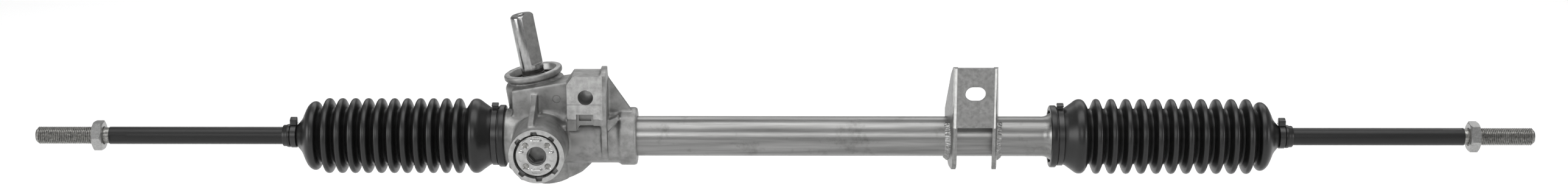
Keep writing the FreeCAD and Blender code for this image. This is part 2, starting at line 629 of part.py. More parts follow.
def make_bracket():
    """A channel of sheet, splayed, trimmed to its side view, and bored for the tube."""
    body = new_body("mounting_bracket")
    half = "bracket_wide / 2"
    out = "bracket_deep * tan(bracket_splay)"
    plan = new_sketch(body, "channel", "XY_Plane", away="bracket_foot")
    outline(plan, [
        ("slot_x - %s" % half, "-mount_face"), ("slot_x + %s" % half, "-mount_face"),
        ("slot_x + %s + %s" % (half, out), "-mount_face + bracket_deep"),
        ("slot_x + %s + %s - bracket_sheet" % (half, out), "-mount_face + bracket_deep"),
        ("slot_x + %s - bracket_sheet" % half, "-mount_face + bracket_sheet"),
        ("slot_x - %s + bracket_sheet" % half, "-mount_face + bracket_sheet"),
        ("slot_x - %s - %s + bracket_sheet" % (half, out), "-mount_face + bracket_deep"),
        ("slot_x - %s - %s" % (half, out), "-mount_face + bracket_deep")])
    pad(body, plan, "bracket_top - bracket_foot")
    round_edges(body, "bend", lambda edge: is_bend(edge, "0"))
    round_edges(body, "bend - bracket_sheet + 1", lambda edge: is_bend(edge, "bracket_sheet"))

    side = new_sketch(body, "side_view", "YZ_Plane", away="slot_x")
    outline(side, [
        ("-mount_face - 20", "bracket_foot - 20"), ("-mount_face + bracket_deep + 20", "bracket_foot - 20"),
        ("-mount_face + bracket_deep + 20", "bracket_top + 20"), ("-mount_face - 20", "bracket_top + 20")])
    outline(side, [
        ("-mount_face - 1", "bracket_top + 1"), ("-mount_face + 4", "bracket_top + 1"),
        ("-mount_face + 13", "bracket_top - 7"), ("-mount_face + bracket_deep + 1", "tube_dia / 2 + 4"),
        ("-mount_face + bracket_deep + 1", "-6"), ("-9", "bracket_foot + 1"),
        ("-15", "bracket_foot - 1"), ("-21", "bracket_foot - 1"), ("-mount_face - 1", "bracket_foot + 7")])
    cut(body, side, "bracket_wide * 3", both_ways=True)
    window = new_sketch(body, "window", "XZ_Plane", away="mount_face + 1")
    outline(window, [
        ("slot_x - %s + bend" % half, "bracket_foot - 2"), ("slot_x + %s - bend" % half, "bracket_foot - 2"),
        ("slot_x + %s - bend" % half, "plate_low"), ("slot_x - %s + bend" % half, "plate_low")])
    cut(body, window, "bracket_sheet + 4")
    slot = new_sketch(body, "slot", "XZ_Plane", away="mount_face + 1")
    reach = "(slot_wide - slot_high) / 2"
    outline(slot, [
        ("slot_x - %s" % reach, "slot_z + slot_high / 2", "slot_high / 2", 1),
        ("slot_x - %s" % reach, "slot_z - slot_high / 2"),
        ("slot_x + %s" % reach, "slot_z - slot_high / 2", "slot_high / 2", 1),
        ("slot_x + %s" % reach, "slot_z + slot_high / 2")])
    cut(body, slot, "bracket_sheet + 2")
    bore = new_sketch(body, "tube_bore", "YZ_Plane", away="slot_x")
    ring(bore, "0", "0", "tube_dia + 2 * press_gap")
    cut(body, bore, "bracket_wide * 3", both_ways=True)
    place(body)


def is_bend(edge, sheet_depth):
    """Upright edges between the front plate and the flanks, on its outer or inner side."""
    middle = edge.CenterOfMass
    upright = abs(edge.Length - number("bracket_top - bracket_foot")) < 0.01
    return upright and abs(middle.y + number("mount_face - " + sheet_depth)) < 0.01


make_bracket()

# Rack bar

def make_rack():
    body = new_body("rack_bar")
    left = "joint_left + socket_back + plate_thick"
    right = "joint_right - socket_back - plate_thick"
    bar = new_sketch(body, "bar", "XZ_Plane")
    outline(bar, [
        (left, "stud_dia / 2 + press_gap"), (left, "rack_dia / 2 - 1"), (left + " + 1", "rack_dia / 2"),
        (right + " - 1", "rack_dia / 2"), (right, "rack_dia / 2 - 1"), (right, "stud_dia / 2 + press_gap"),
        (right + " - stud_long - 1", "stud_dia / 2 + press_gap"), (right + " - stud_long - 5", "0"),
        (left + " + stud_long + 5", "0"), (left + " + stud_long + 1", "stud_dia / 2 + press_gap")])
    turn(body, bar, "H_Axis")
    first = "(-(tooth_gaps - 1) / 2 + 1) * %s" % PITCH
    last = "((tooth_gaps - 1) / 2 + 1) * %s" % PITCH
    mill = new_sketch(body, "tooth_flat", "XY_Plane")
    outline(mill, [
        (first + " - 9", "rack_dia"), (first + " - 5", "teeth_flat"), (last + " + 5", "teeth_flat"),
        (last + " + 9", "rack_dia")])
    cut(body, mill, "rack_dia * 2", both_ways=True)
    gap = new_sketch(body, "tooth_gap", "XY_Plane")
    half_line = "(%s / 4)" % PITCH
    over = "(1 + 1 / module)"
    outline(gap, [
        (first + " - %s + (module - teeth_flat + %s) * tan(pressure)" % (half_line, TOOTH_ROOT), TOOTH_ROOT),
        (first + " + %s - (module - teeth_flat + %s) * tan(pressure)" % (half_line, TOOTH_ROOT), TOOTH_ROOT),
        (first + " + %s + (module + 1) * tan(pressure)" % half_line, "teeth_flat + 1"),
        (first + " - %s - (module + 1) * tan(pressure)" % half_line, "teeth_flat + 1")])
    feature = cut(body, gap, "rack_dia * 2", both_ways=True)
    row = body.newObject("PartDesign::LinearPattern", "tooth_row")
    row.Originals = [feature]
    row.Direction = (gap, ["H_Axis"])
    row.setExpression("Length", bind("(tooth_gaps - 1) * " + PITCH))
    row.setExpression("Occurrences", bind("tooth_gaps"))
    body.Tip = row
    settle(body, row)
    place(body)


make_rack()

# Pinion

def involute(base, radius):
    """Angle that an involute of the base circle has swept where it reaches a radius."""
    roll = math.sqrt(max((radius / base) ** 2 - 1, 0))
    return roll - math.atan(roll)


def gap_wire(turned_by, height):
    """The outline of one gap between the pinion's teeth, at one height up its axis."""
    teeth = number("pinion_teeth")
    pitch_radius = number(PITCH_RADIUS)
    lean = math.radians(number("lean"))
    slope = math.atan(math.tan(math.radians(number("pressure"))) / math.cos(lean))
    base = pitch_radius * math.cos(slope)
    root = number(RACK_TIP) - number("tooth_clearance")
    outer = number("tip_dia") / 2 + 1
    shift = number("tooth_shift") * math.tan(math.radians(number("pressure")))
    play = number("backlash") / number("module * pinion_teeth")
    tooth_half = (math.pi / 2 + 2 * shift) / teeth - play
    middle = math.pi / teeth

    def flank_angle(radius):
        at_pitch = involute(base, pitch_radius)
        return middle - tooth_half - at_pitch + involute(base, max(radius, base))

    radii = [base + (outer - base) * step / 6 for step in range(7)]
    right = [Vector(r * math.cos(-flank_angle(r)), r * math.sin(-flank_angle(r)), 0) for r in radii]
    left = [Vector(point.x, -point.y, 0) for point in right]
    root_half = flank_angle(base) * 0.96
    foot_right = Vector(root * math.cos(root_half), -root * math.sin(root_half), 0)
    foot_left = Vector(foot_right.x, -foot_right.y, 0)
    flank_right = Part.BSplineCurve()
    flank_right.interpolate(right)
    flank_left = Part.BSplineCurve()
    flank_left.interpolate(list(reversed(left)))
    edges = [
        Part.LineSegment(foot_right, right[0]).toShape(),
        flank_right.toShape(),
        Part.Arc(right[-1], Vector(outer, 0, 0), left[-1]).toShape(),
        flank_left.toShape(),
        Part.LineSegment(left[0], foot_left).toShape(),
        Part.Arc(foot_left, Vector(root, 0, 0), foot_right).toShape()]
    wire = Part.Wire(edges)
    wire.Placement = Placement(Vector(0, 0, height), Rotation(Vector(0, 0, 1), math.degrees(turned_by)))
    return wire


def make_pinion():
    """A turned shaft whose gaps are cut by lofts that follow the helix, and its flat."""
    seat = number("seat_dia") / 2
    shaft = number("shaft_dia") / 2
    groove = number("shaft_groove")
    top = number("shaft_top")
    tip = number("tip_dia") / 2
    low, high = number("teeth_low"), number("teeth_high")
    journal = number("journal_dia") / 2
    bearing = number("bearing_low")
    bearing_top = bearing + number("bearing_high")
    ring_top = bearing_top + number("snap_wire")
    profile = [
        (0, number("journal_low")), (journal - 1, number("journal_low")), (journal, number("journal_low") + 1),
        (journal, low - 1), (tip - 1.2, low - 1), (tip, low + 0.2), (tip, high), (seat - 2, high + 2),
        (seat - 2, bearing - 8), (number("shoulder_dia") / 2, bearing - 6), (number("shoulder_dia") / 2, bearing),
        (seat, bearing), (seat, bearing_top), (seat - 0.6, bearing_top), (seat - 0.6, ring_top),
        (seat, ring_top), (seat, ring_top + 1), (shaft, ring_top + 1.6), (shaft, groove - 1),
        (shaft - 0.5, groove - 1), (shaft - 0.5, groove + 1), (shaft, groove + 1), (shaft, top - 1.5),
        (shaft - 1.5, top), (2.5, top), (2.5, top - 2), (0, top - 4)]
    points = [Vector(radius, 0, along) for radius, along in profile]
    face = Part.Face(Part.makePolygon(points + points[:1]))
    solid = face.revolve(Vector(0, 0, 0), Vector(0, 0, 1), 360)
    helix = math.tan(math.radians(number("lean"))) / number(PITCH_RADIUS)
    start, end = low - 4, high + 6
    steps = 6
    teeth = int(number("pinion_teeth"))
    towards_rack = -math.pi / 2 + math.pi / teeth
    heights = [start + (end - start) * step / steps for step in range(steps + 1)]
    wires = [gap_wire(towards_rack + helix * level, level) for level in heights]
    gap = Part.makeLoft(wires, True, False)
    gaps = []
    for index in range(teeth):
        copy = gap.copy()
        copy.rotate(Vector(0, 0, 0), Vector(0, 0, 1), 360 * index / teeth)
        gaps.append(copy)
    solid = solid.cut(gaps)
    flat = Part.makeBox(shaft * 3, number("flat_depth") + 1, top - number("flat_low") + 5)
    flat.translate(Vector(-shaft * 1.5, -shaft - 1, number("flat_low")))
    flat.rotate(Vector(0, 0, 0), Vector(0, 0, 1), number("flat_turn"))
    solid = solid.cut(flat).removeSplitter()
    own_shape("pinion_shaft", solid.Solids[0], UPRIGHT, PINION_BACK)


make_pinion()

# Pinion bearing, its snap rings and the lower bush

OUT = "(bearing_dia / 2)"
SEAT = "(seat_dia / 2 + press_gap)"
LOW = "bearing_low"
TOP = "bearing_low + bearing_high"
MID = "bearing_low + bearing_high / 2"
TRACK = "(bearing_dia + seat_dia) / 4"
BALL = "(ball_dia / 2 + rack_gap)"
TRACK_OUT = "sqrt(%s^2 - (%s - ring_wall - %s)^2)" % (BALL, OUT, TRACK)
TRACK_IN = "sqrt(%s^2 - (%s - %s - ring_wall)^2)" % (BALL, TRACK, SEAT)

outer_ring = turned("bearing_outer_ring", [
    (OUT + " - ring_wall", LOW), (OUT, LOW), (OUT, TOP), (OUT + " - ring_wall", TOP),
    (OUT + " - ring_wall", MID + " + " + TRACK_OUT, BALL, -1), (OUT + " - ring_wall", MID + " - " + TRACK_OUT)],
    about="pinion")
place(outer_ring)
inner_ring = turned("bearing_inner_ring", [
    (SEAT, LOW), (SEAT + " + ring_wall", LOW), (SEAT + " + ring_wall", MID + " - " + TRACK_IN, BALL, -1),
    (SEAT + " + ring_wall", MID + " + " + TRACK_IN), (SEAT + " + ring_wall", TOP), (SEAT, TOP)],
    about="pinion")
place(inner_ring)
snap = turned("bearing_snap_ring", [
    (OUT + " - 2", TOP + " + 0.02"), (OUT + " + 0.8", TOP + " + 0.02"), (OUT + " + 0.8", TOP + " + snap_wire"),
    (OUT + " - 2", TOP + " + snap_wire")], about="pinion")
place(snap)
circlip = turned("pinion_circlip", [
    ("seat_dia / 2 - 0.58", TOP + " + 0.02"), ("seat_dia / 2 + 1.8", TOP + " + 0.02"),
    ("seat_dia / 2 + 1.8", TOP + " + snap_wire - 0.02"), ("seat_dia / 2 - 0.58", TOP + " + snap_wire - 0.02")],
    about="pinion")
place(circlip)
lower_bush = turned("lower_bush", [
    ("journal_dia / 2 + rack_gap", "journal_low"), ("journal_dia / 2 + bush_wall", "journal_low"),
    ("journal_dia / 2 + bush_wall", "teeth_low - 3"), ("journal_dia / 2 + rack_gap", "teeth_low - 3")],
    about="pinion")
place(lower_bush)


def make_balls_and_cage():
    """Balls evenly round the race, and a ring cage with a pocket for each."""
    track = number(TRACK)
    middle = number(MID)
    count = int(number("ball_count"))
    radius = number("ball_dia") / 2
    spots = []
    for index in range(count):
        angle = 2 * math.pi * index / count
        spots.append(Vector(track * math.cos(angle), track * math.sin(angle), middle))
    balls = Part.makeCompound([Part.makeSphere(radius, spot) for spot in spots])
    wide, thin = 2.0, 1.4
    low = middle - radius * 0.9
    cage = Part.makeCylinder(track + wide / 2, thin * 2.6, Vector(0, 0, low + thin))
    cage = cage.cut(Part.makeCylinder(track - wide / 2, thin * 4, Vector(0, 0, low)))
    cage = cage.cut([Part.makeSphere(radius + 0.08, spot) for spot in spots])
    own_shape("bearing_balls", balls, UPRIGHT, PINION_BACK)
    own_shape("bearing_cage", cage.Solids[0], UPRIGHT, PINION_BACK)


make_balls_and_cage()

# Yoke group, along -Y

def make_yoke():
    body = new_body("yoke")
    round_bar = new_sketch(body, "yoke_section", "XY_Plane")
    fit = "yoke_bore / 2 - rack_gap"
    ring_mid = "(yoke_back - 8)"
    outline(round_bar, [
        ("0", "-yoke_front"), (fit, "-yoke_front"), (fit, "-%s + ring_wire / 2" % ring_mid),
        (fit + " - ring_wire + 0.1", "-%s + ring_wire / 2" % ring_mid),
        (fit + " - ring_wire + 0.1", "-%s - ring_wire / 2" % ring_mid),
        (fit, "-%s - ring_wire / 2" % ring_mid), (fit, "-yoke_back + 1"), (fit + " - 1", "-yoke_back"),
        ("pocket_dia / 2", "-yoke_back"), ("pocket_dia / 2", "-yoke_back + pocket_deep"),
        ("0", "-yoke_back + pocket_deep")])
    turn(body, round_bar, "V_Axis")
    saddle = new_sketch(body, "saddle", "YZ_Plane")
    ring(saddle, "0", "0", "rack_dia + 2 * rack_gap + 2 * liner_wall + 2 * press_gap")
    cut(body, saddle, "yoke_bore * 2", both_ways=True)
    place(body)


make_yoke()


def make_liner():
    """A slide liner in the yoke's saddle: a part of a tube along the rack."""
    body = new_body("yoke_liner")
    section = new_sketch(body, "liner_section", "YZ_Plane")
    inner = "rack_dia / 2 + rack_gap"
    outer = "rack_dia / 2 + rack_gap + liner_wall"
    level = "9.5"
    outline(section, [
        ("-sqrt((%s)^2 - %s^2)" % (inner, level), level, inner, 1),
        ("-sqrt((%s)^2 - %s^2)" % (inner, level), "-" + level),
        ("-sqrt((%s)^2 - %s^2)" % (outer, level), "-" + level, outer, -1),
        ("-sqrt((%s)^2 - %s^2)" % (outer, level), level)])
    pad(body, section, "yoke_bore - 10", both_ways=True)
    place(body)


make_liner()

o_ring = doc.addObject("Part::Torus", "yoke_o_ring")
o_ring.Label = "yoke_o_ring"
o_ring.setExpression("Radius1", bind("yoke_bore / 2 - ring_wire / 2 - 0.02"))
o_ring.setExpression("Radius2", bind("ring_wire / 2 - 0.1"))
o_ring.Placement = Placement(Vector(), FORWARD)
place(o_ring, "8 - yoke_back")


def make_spring():
    """A coil spring between the yoke's pocket and the guide, its end coils ground flat."""
    wire = number("spring_wire") / 2
    middle = number("spring_dia") / 2
    start = number("yoke_back - pocket_deep")
    end = number(GUIDE_SEAT)
    turns = 3
    long = end - start
    helix = Part.makeHelix(long / turns, long, middle)
    profile = Part.Wire(Part.makeCircle(wire, Vector(middle, 0, 0), Vector(0, 1, 0)))
    coil = Part.Wire(helix).makePipeShell([profile], True, True)
    trimmed = coil.common(Part.makeCylinder(middle * 2, long - 0.1, Vector(0, 0, 0.05)))
    largest = max(trimmed.Solids, key=lambda solid: solid.Volume)
    own_shape("yoke_spring", largest, FORWARD, "pocket_deep - yoke_back")


GUIDE_FACE = "(cap_face - 6)"
GUIDE_SEAT = "(cap_face - 13)"
make_spring()


def make_guide():
    """The hex-socket piece behind the cap: a flanged guide on which the spring sits."""
    body = new_body("yoke_spring_guide")
    section = new_sketch(body, "guide_section", "XY_Plane")
    outline(section, [
        ("0", "-%s + 5" % GUIDE_SEAT), ("spring_dia / 2 - spring_wire / 2 - 0.6", "-%s + 5" % GUIDE_SEAT),
        ("spring_dia / 2 - spring_wire / 2 - 0.6", "-" + GUIDE_SEAT), ("cap_bore / 2 - 3.4", "-" + GUIDE_SEAT),
        ("cap_bore / 2 - 3.4", "-cap_face + cap_sheet + 3"), ("cap_hole / 2 + 1.2", "-cap_face + cap_sheet + 3"),
        ("cap_hole / 2 + 0.2", "-" + GUIDE_FACE + " - 0.6"), ("0", "-" + GUIDE_FACE + " - 0.6")])
    turn(body, section, "V_Axis")
    socket = new_sketch(body, "hex_socket", "XZ_Plane", away=GUIDE_FACE + " + 1")
    corner = "hex_wide / sqrt(3)"
    outline(socket, [
        ("(%s) * cos(%d)" % (corner, 60 * side + 12), "(%s) * sin(%d)" % (corner, 60 * side + 12))
        for side in range(6)])
    cut(body, socket, "7")
    place(body)


make_guide()


def make_cap():
    """The pressed adjuster cap: a cup with a hole, four raised beads and four round dimples."""
    body = new_body("adjuster_cap")
    section = new_sketch(body, "cap_section", "XY_Plane")
    rim = "cap_bore / 2 - rack_gap"
    front = "-cap_face"
    outline(section, [
        ("cap_hole / 2", front), (rim + " - 1.2 - cap_round", front, "cap_round", 1),
        (rim + " - 1.2", front + " + cap_round"), (rim + " - 1.2", front + " + 2.6"), (rim, front + " + 3.4"),
        (rim, front + " + cap_high"), (rim + " - cap_sheet", front + " + cap_high"),
        (rim + " - cap_sheet - 1.2", front + " + cap_sheet"), ("cap_hole / 2", front + " + cap_sheet")])
    turn(body, section, "V_Axis")
    bead = new_sketch(body, "bead", "XZ_Plane", away="cap_face - 0.4")
    wide, long = "1.6", "3.2"
    outline(bead, [
        ("-" + long, "dimple_circle / 2 + " + wide, wide, 1), ("-" + long, "dimple_circle / 2 - " + wide),
        (long, "dimple_circle / 2 - " + wide, wide, 1), (long, "dimple_circle / 2 + " + wide)])
    raised = pad(body, bead, "1.2")
    polar(body, raised, (bead, ["N_Axis"]), "4")
    dimple = new_sketch(body, "dimple", "XZ_Plane", away="cap_face")
    ring(dimple, "dimple_circle / 2 * cos(45)", "dimple_circle / 2 * sin(45)", "dimple_dia")
    sunk = cut(body, dimple, "0.9")
    polar(body, sunk, (dimple, ["N_Axis"]), "4")
    place(body)


make_cap()

# Ball sockets, ball seats, tie rods, nuts

CAVITY = "(rod_ball / 2 + seat_wall + 2 * seat_gap)"


def make_joint(side, ball, way):
    """One end of the rack; way is -1 for the left rod, which points to -X, and 1 for the right."""
    def along(distance):
        return "%s + %d * (%s)" % (ball, way, distance)

    inner_face = along("-socket_back")
    mouth = "sqrt(%s^2 - (socket_mouth / 2)^2)" % CAVITY
    socket = turned("ball_socket_" + side, [
        (along("-socket_back - stud_long"), "0"), (along("-socket_back - stud_long"), "stud_dia / 2 - 1"),
        (along("-socket_back - stud_long + 1"), "stud_dia / 2"), (inner_face, "stud_dia / 2"),
        (inner_face, "socket_dia / 2 - 4"), (along("-socket_back + 3"), "socket_dia / 2 - 1"),
        (along("-socket_back + 3"), "socket_dia / 2"), (along("3"), "socket_dia / 2"),
        (along("9"), "socket_mouth / 2 + 3.4"), (along("10"), "socket_mouth / 2 + 1.5"),
        (along(mouth), "socket_mouth / 2", CAVITY, way), (along("-" + CAVITY), "0")])
    flats = new_sketch(socket, "socket_flats_" + side, "YZ_Plane", away=along("-socket_back + 3"))
    outline(flats, [
        ("-socket_dia", "socket_dia / 2 - 1.5"), ("socket_dia", "socket_dia / 2 - 1.5"),
        ("socket_dia", "socket_dia"), ("-socket_dia", "socket_dia")])
    outline(flats, [
        ("-socket_dia", "-socket_dia"), ("socket_dia", "-socket_dia"),
        ("socket_dia", "-socket_dia / 2 + 1.5"), ("-socket_dia", "-socket_dia / 2 + 1.5")])
    cut(socket, flats, "9", reverse=way > 0)
    place(socket)

    inside = "(rod_ball / 2 + seat_gap)"
    outside = "(rod_ball / 2 + seat_gap + seat_wall)"
    edge = "5.5"
    seat = turned("ball_seat_" + side, [
        (along("-" + outside), "0"), (along("-" + inside), "0", inside, -way),
        (along(edge), "sqrt(%s^2 - %s^2)" % (inside, edge)),
        (along(edge), "sqrt(%s^2 - %s^2)" % (outside, edge), outside, way)])
    place(seat)

    plate = turned("lock_plate_" + side, [
        (inner_face, "stud_dia / 2 + press_gap"), (inner_face, "rack_dia / 2 + 3"),
        (along("-socket_back - plate_thick"), "rack_dia / 2 + 3"),
        (along("-socket_back - plate_thick"), "stud_dia / 2 + press_gap")])
    place(plate)

    neck = "sqrt((rod_ball / 2)^2 - (neck_rod / 2)^2)"
    coated = "(rod_long - thread_long)"
    rod = turned("tie_rod_" + side, [
        (along("-rod_ball / 2"), "0", "rod_ball / 2", -way), (along(neck), "neck_rod / 2"),
        (along("18"), "neck_rod / 2"), (along("22"), "rod_dia / 2"), (along(coated), "rod_dia / 2"),
        (along(coated), "rod_dia / 2 - 0.5"), (along(coated + " + runout_long"), "rod_dia / 2 - 0.5"),
        (along(coated + " + runout_long + 0.5"), "rod_dia / 2"), (along("rod_long - 1.6"), "rod_dia / 2"),
        (along("rod_long"), "rod_dia / 2 - 1.6"), (along("rod_long"), "0")])
    flats = new_sketch(rod, "rod_flats_" + side, "XY_Plane" if way < 0 else "XZ_Plane")
    for edge_way in (1, -1):
        outline(flats, [
            (along(coated + " - flats_long - 2"), "%d * rod_dia" % edge_way),
            (along(coated + " - flats_long"), "%d * rod_flats / 2" % edge_way),
            (along(coated), "%d * rod_flats / 2" % edge_way), (along(coated), "%d * rod_dia" % edge_way)])
    cut(rod, flats, "rod_dia * 2", both_ways=True)
    place(rod)

    back = along("%s + nut_%s_back" % (coated, side))
    front = along("%s + nut_%s_back + nut_high" % (coated, side))
    nut = new_body("jam_nut_" + side)
    flank = new_sketch(nut, "nut_hex_" + side, "YZ_Plane", away="min(%s; %s)" % (back, front))
    turn_by = 8 if side == "left" else 0
    corner = "nut_wide / sqrt(3)"
    outline(flank, [
        ("(%s) * cos(%d)" % (corner, 60 * step + turn_by + (30 if side == "right" else 0)),
         "(%s) * sin(%d)" % (corner, 60 * step + turn_by + (30 if side == "right" else 0)))
        for step in range(6)])
    pad(nut, flank, "nut_high")
    bevel = new_sketch(nut, "nut_bevel_" + side, "XZ_Plane")
    for face, inward in ((back, way), (front, -way)):
        outline(bevel, [
            (face + " - %d" % inward, "nut_wide / 2 - 0.3 - sqrt(3)"), (face, "nut_wide / 2 - 0.3"),
            (face + " + %d * 2" % inward, "nut_wide / 2 - 0.3 + 2 * sqrt(3)"),
            (face + " - %d" % inward, "nut_wide / 2 - 0.3 + 2 * sqrt(3)")])
    turn(nut, bevel, "H_Axis", groove=True)
    hole = new_sketch(nut, "nut_bore_" + side, "YZ_Plane", away="min(%s; %s) - 1" % (back, front))
    ring(hole, "0", "0", "rod_dia + 2 * nut_gap")
    cut(nut, hole, "nut_high + 2", reverse=True)
    place(nut)


make_joint("left", "joint_left", -1)
make_joint("right", "joint_right", 1)

# Boots and clamps

def make_boot(side, start, length, way):
    """A bellows turned about the rack; distances run from its big end towards its small one."""
    def along(distance):
        return "%s + %d * (%s)" % (start, way, distance)

    crests = int(number("crest_count"))
    step = "((%s - crest_last - crest_first) / (crest_count - 1))" % length
    outer = [
        ("0", "boot_lip_dia / 2 - 0.8"), ("1.5", "boot_lip_dia / 2"), ("clamp_place - 3.4", "boot_lip_dia / 2"),
        ("clamp_place - 2.7", "clamp_seat_dia / 2"), ("clamp_place + 2.7", "clamp_seat_dia / 2"),
        ("clamp_place + 3.5", "clamp_seat_dia / 2 + 0.8"), ("lobe_place - 6", "crest_dia / 2 - 2.4"),
        ("lobe_place - 2", "crest_dia / 2"), ("lobe_place + 1", "crest_dia / 2"),
        ("(lobe_place + crest_first) / 2", "valley_dia / 2")]
    for index in range(crests):
        crest = "crest_first + %d * %s" % (index, step)
        outer.append((crest + " - 0.7", "crest_dia / 2"))
        outer.append((crest + " + 0.7", "crest_dia / 2"))
        if index < crests - 1:
            outer.append((crest + " + %s / 2" % step, "valley_dia / 2"))
    outer += [
        ("%s - (crest_last + lobe_last) / 2" % length, "valley_dia / 2 - 0.6"),
        ("%s - lobe_last - 2.2" % length, "lobe_last_dia / 2"),
        ("%s - lobe_last + 1.6" % length, "lobe_last_dia / 2 - 0.2"),
        ("%s - lobe_last + 6" % length, "lobe_last_dia / 2 - 6"),
        ("%s - boot_neck_long" % length, "boot_neck_dia / 2 + 2"),
        ("%s - boot_neck_long + 1" % length, "boot_neck_dia / 2"),
        ("%s - small_place + 2.6" % length, "boot_neck_dia / 2"),
        ("%s - small_place + 3.2" % length, "boot_neck_dia / 2 + 0.7"),
        ("%s - 0.6" % length, "boot_neck_dia / 2 + 0.7"), ("%s" % length, "boot_neck_dia / 2")]
    inner = [
        ("%s" % length, "rod_dia / 2 + boot_gap"), ("%s - boot_neck_long + 2" % length, "rod_dia / 2 + boot_gap"),
        ("%s - boot_neck_long" % length, "boot_neck_dia / 2 + 0.6"),
        ("%s - lobe_last + 5.4" % length, "lobe_last_dia / 2 - 6 - boot_wall"),
        ("%s - lobe_last" % length, "lobe_last_dia / 2 - boot_wall"),
        ("%s - (crest_last + lobe_last) / 2" % length, "valley_dia / 2 - 0.6 - boot_wall")]
    for index in reversed(range(crests)):
        crest = "crest_first + %d * %s" % (index, step)
        inner.append((crest, "crest_dia / 2 - boot_wall"))
        if index:
            inner.append((crest + " - %s / 2" % step, "valley_dia / 2 - boot_wall"))
    inner += [
        ("(lobe_place + crest_first) / 2", "valley_dia / 2 - boot_wall"),
        ("lobe_place", "crest_dia / 2 - boot_wall - 0.3"), ("lobe_place - 5", "crest_dia / 2 - 2.4 - boot_wall"),
        ("clamp_place + 4", "neck_dia / 2 + boot_gap"), ("0", "neck_dia / 2 + boot_gap")]
    place(turned("boot_" + side, [(along(distance), radius) for distance, radius in outer + inner]))

    for kind, middle, seat, bead in (
            ("large", "clamp_place", "clamp_seat_dia / 2", "boot_lip_dia / 2"),
            ("small", "%s - small_place" % length, "boot_neck_dia / 2", "boot_neck_dia / 2 + 0.7")):
        name = "%s_clamp_%s" % (kind, side)
        inner_radius = seat + " + press_gap"
        outer_radius = seat + " + strap"
        clamp = turned(name, [
            (along(middle) + " - clamp_wide / 2", inner_radius), (along(middle) + " + clamp_wide / 2", inner_radius),
            (along(middle) + " + clamp_wide / 2", outer_radius), (along(middle) + " - clamp_wide / 2", outer_radius)])
        for part, wide, low, high in (
                ("neck", "clamp_wide", seat + " + 0.3", "boot_lip_dia / 20"),
                ("head", "head_wide", bead + " + 0.1", "%s_head - %s - 0.1" % (kind, bead))):
            block = new_sketch(clamp, name + "_" + part, "XY_Plane", away=low)
            outline(block, [
                (along(middle) + " - %s / 2" % wide, "-head_long / 2"),
                (along(middle) + " + %s / 2" % wide, "-head_long / 2"),
                (along(middle) + " + %s / 2" % wide, "head_long / 2"),
                (along(middle) + " - %s / 2" % wide, "head_long / 2")])
            pad(clamp, block, high)
        place(clamp)


make_boot("left", "boot_left", "boot_left_long", -1)
make_boot("right", "boot_right", "boot_right_long", 1)

# Check everything, then write one file per piece

doc.recompute()
for item in doc.Objects:
    if "Invalid" in item.State or "Error" in item.State:
        raise RuntimeError("%s failed: %s" % (item.Name, item.State))
os.makedirs("parts", exist_ok=True)
for piece in FINISHED:
    if piece.Shape.isNull() or not piece.Shape.isValid():
        raise RuntimeError("%s has no valid shape" % piece.Label)
    piece.Shape.exportStep(os.path.join("parts", piece.Label + ".step"))
    print(piece.Label, len(piece.Shape.Solids), round(piece.Shape.Volume))
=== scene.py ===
"""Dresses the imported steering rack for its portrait: smooth turned parts, castings, bellows and finishes.

Shapes are drawn in millimetres about the rack's axis: X along the rack, -Y towards the viewer, +Z up,
with X = 0 where the pinion crosses the rack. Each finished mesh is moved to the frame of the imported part.
"""
import math

import bmesh
import bpy
from bpy.props import FloatProperty, FloatVectorProperty, IntProperty, PointerProperty
from mathutils import Matrix, Vector


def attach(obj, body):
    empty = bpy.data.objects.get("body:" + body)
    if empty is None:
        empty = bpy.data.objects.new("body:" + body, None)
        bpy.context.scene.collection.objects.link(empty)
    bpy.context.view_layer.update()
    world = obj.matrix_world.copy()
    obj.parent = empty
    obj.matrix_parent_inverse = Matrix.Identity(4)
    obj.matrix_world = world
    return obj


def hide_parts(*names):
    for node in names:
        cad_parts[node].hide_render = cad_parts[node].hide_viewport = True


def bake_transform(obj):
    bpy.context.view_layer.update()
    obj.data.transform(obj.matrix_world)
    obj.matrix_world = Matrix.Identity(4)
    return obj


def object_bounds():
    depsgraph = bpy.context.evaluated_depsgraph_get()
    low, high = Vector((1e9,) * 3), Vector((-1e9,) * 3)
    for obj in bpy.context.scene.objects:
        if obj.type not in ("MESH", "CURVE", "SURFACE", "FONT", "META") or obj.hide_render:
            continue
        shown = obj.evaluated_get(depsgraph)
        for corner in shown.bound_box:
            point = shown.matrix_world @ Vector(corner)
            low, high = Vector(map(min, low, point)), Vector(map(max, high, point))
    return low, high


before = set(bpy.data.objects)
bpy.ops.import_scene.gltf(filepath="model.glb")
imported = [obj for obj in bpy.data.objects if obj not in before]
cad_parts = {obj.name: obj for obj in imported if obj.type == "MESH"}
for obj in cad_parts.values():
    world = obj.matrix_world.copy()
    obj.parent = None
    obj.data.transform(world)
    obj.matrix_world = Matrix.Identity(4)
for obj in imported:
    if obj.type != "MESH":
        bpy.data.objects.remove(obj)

CAD_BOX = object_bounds()

bl_info = {
    "name": "Steering Rack Dresser",
    "version": (1, 0, 0),
    "blender": (4, 5, 0),
    "location": "View3D > Sidebar > Steering Rack",
    "description": "Builds the visible pieces and finishes of a manual steering rack",
    "category": "Object",
}

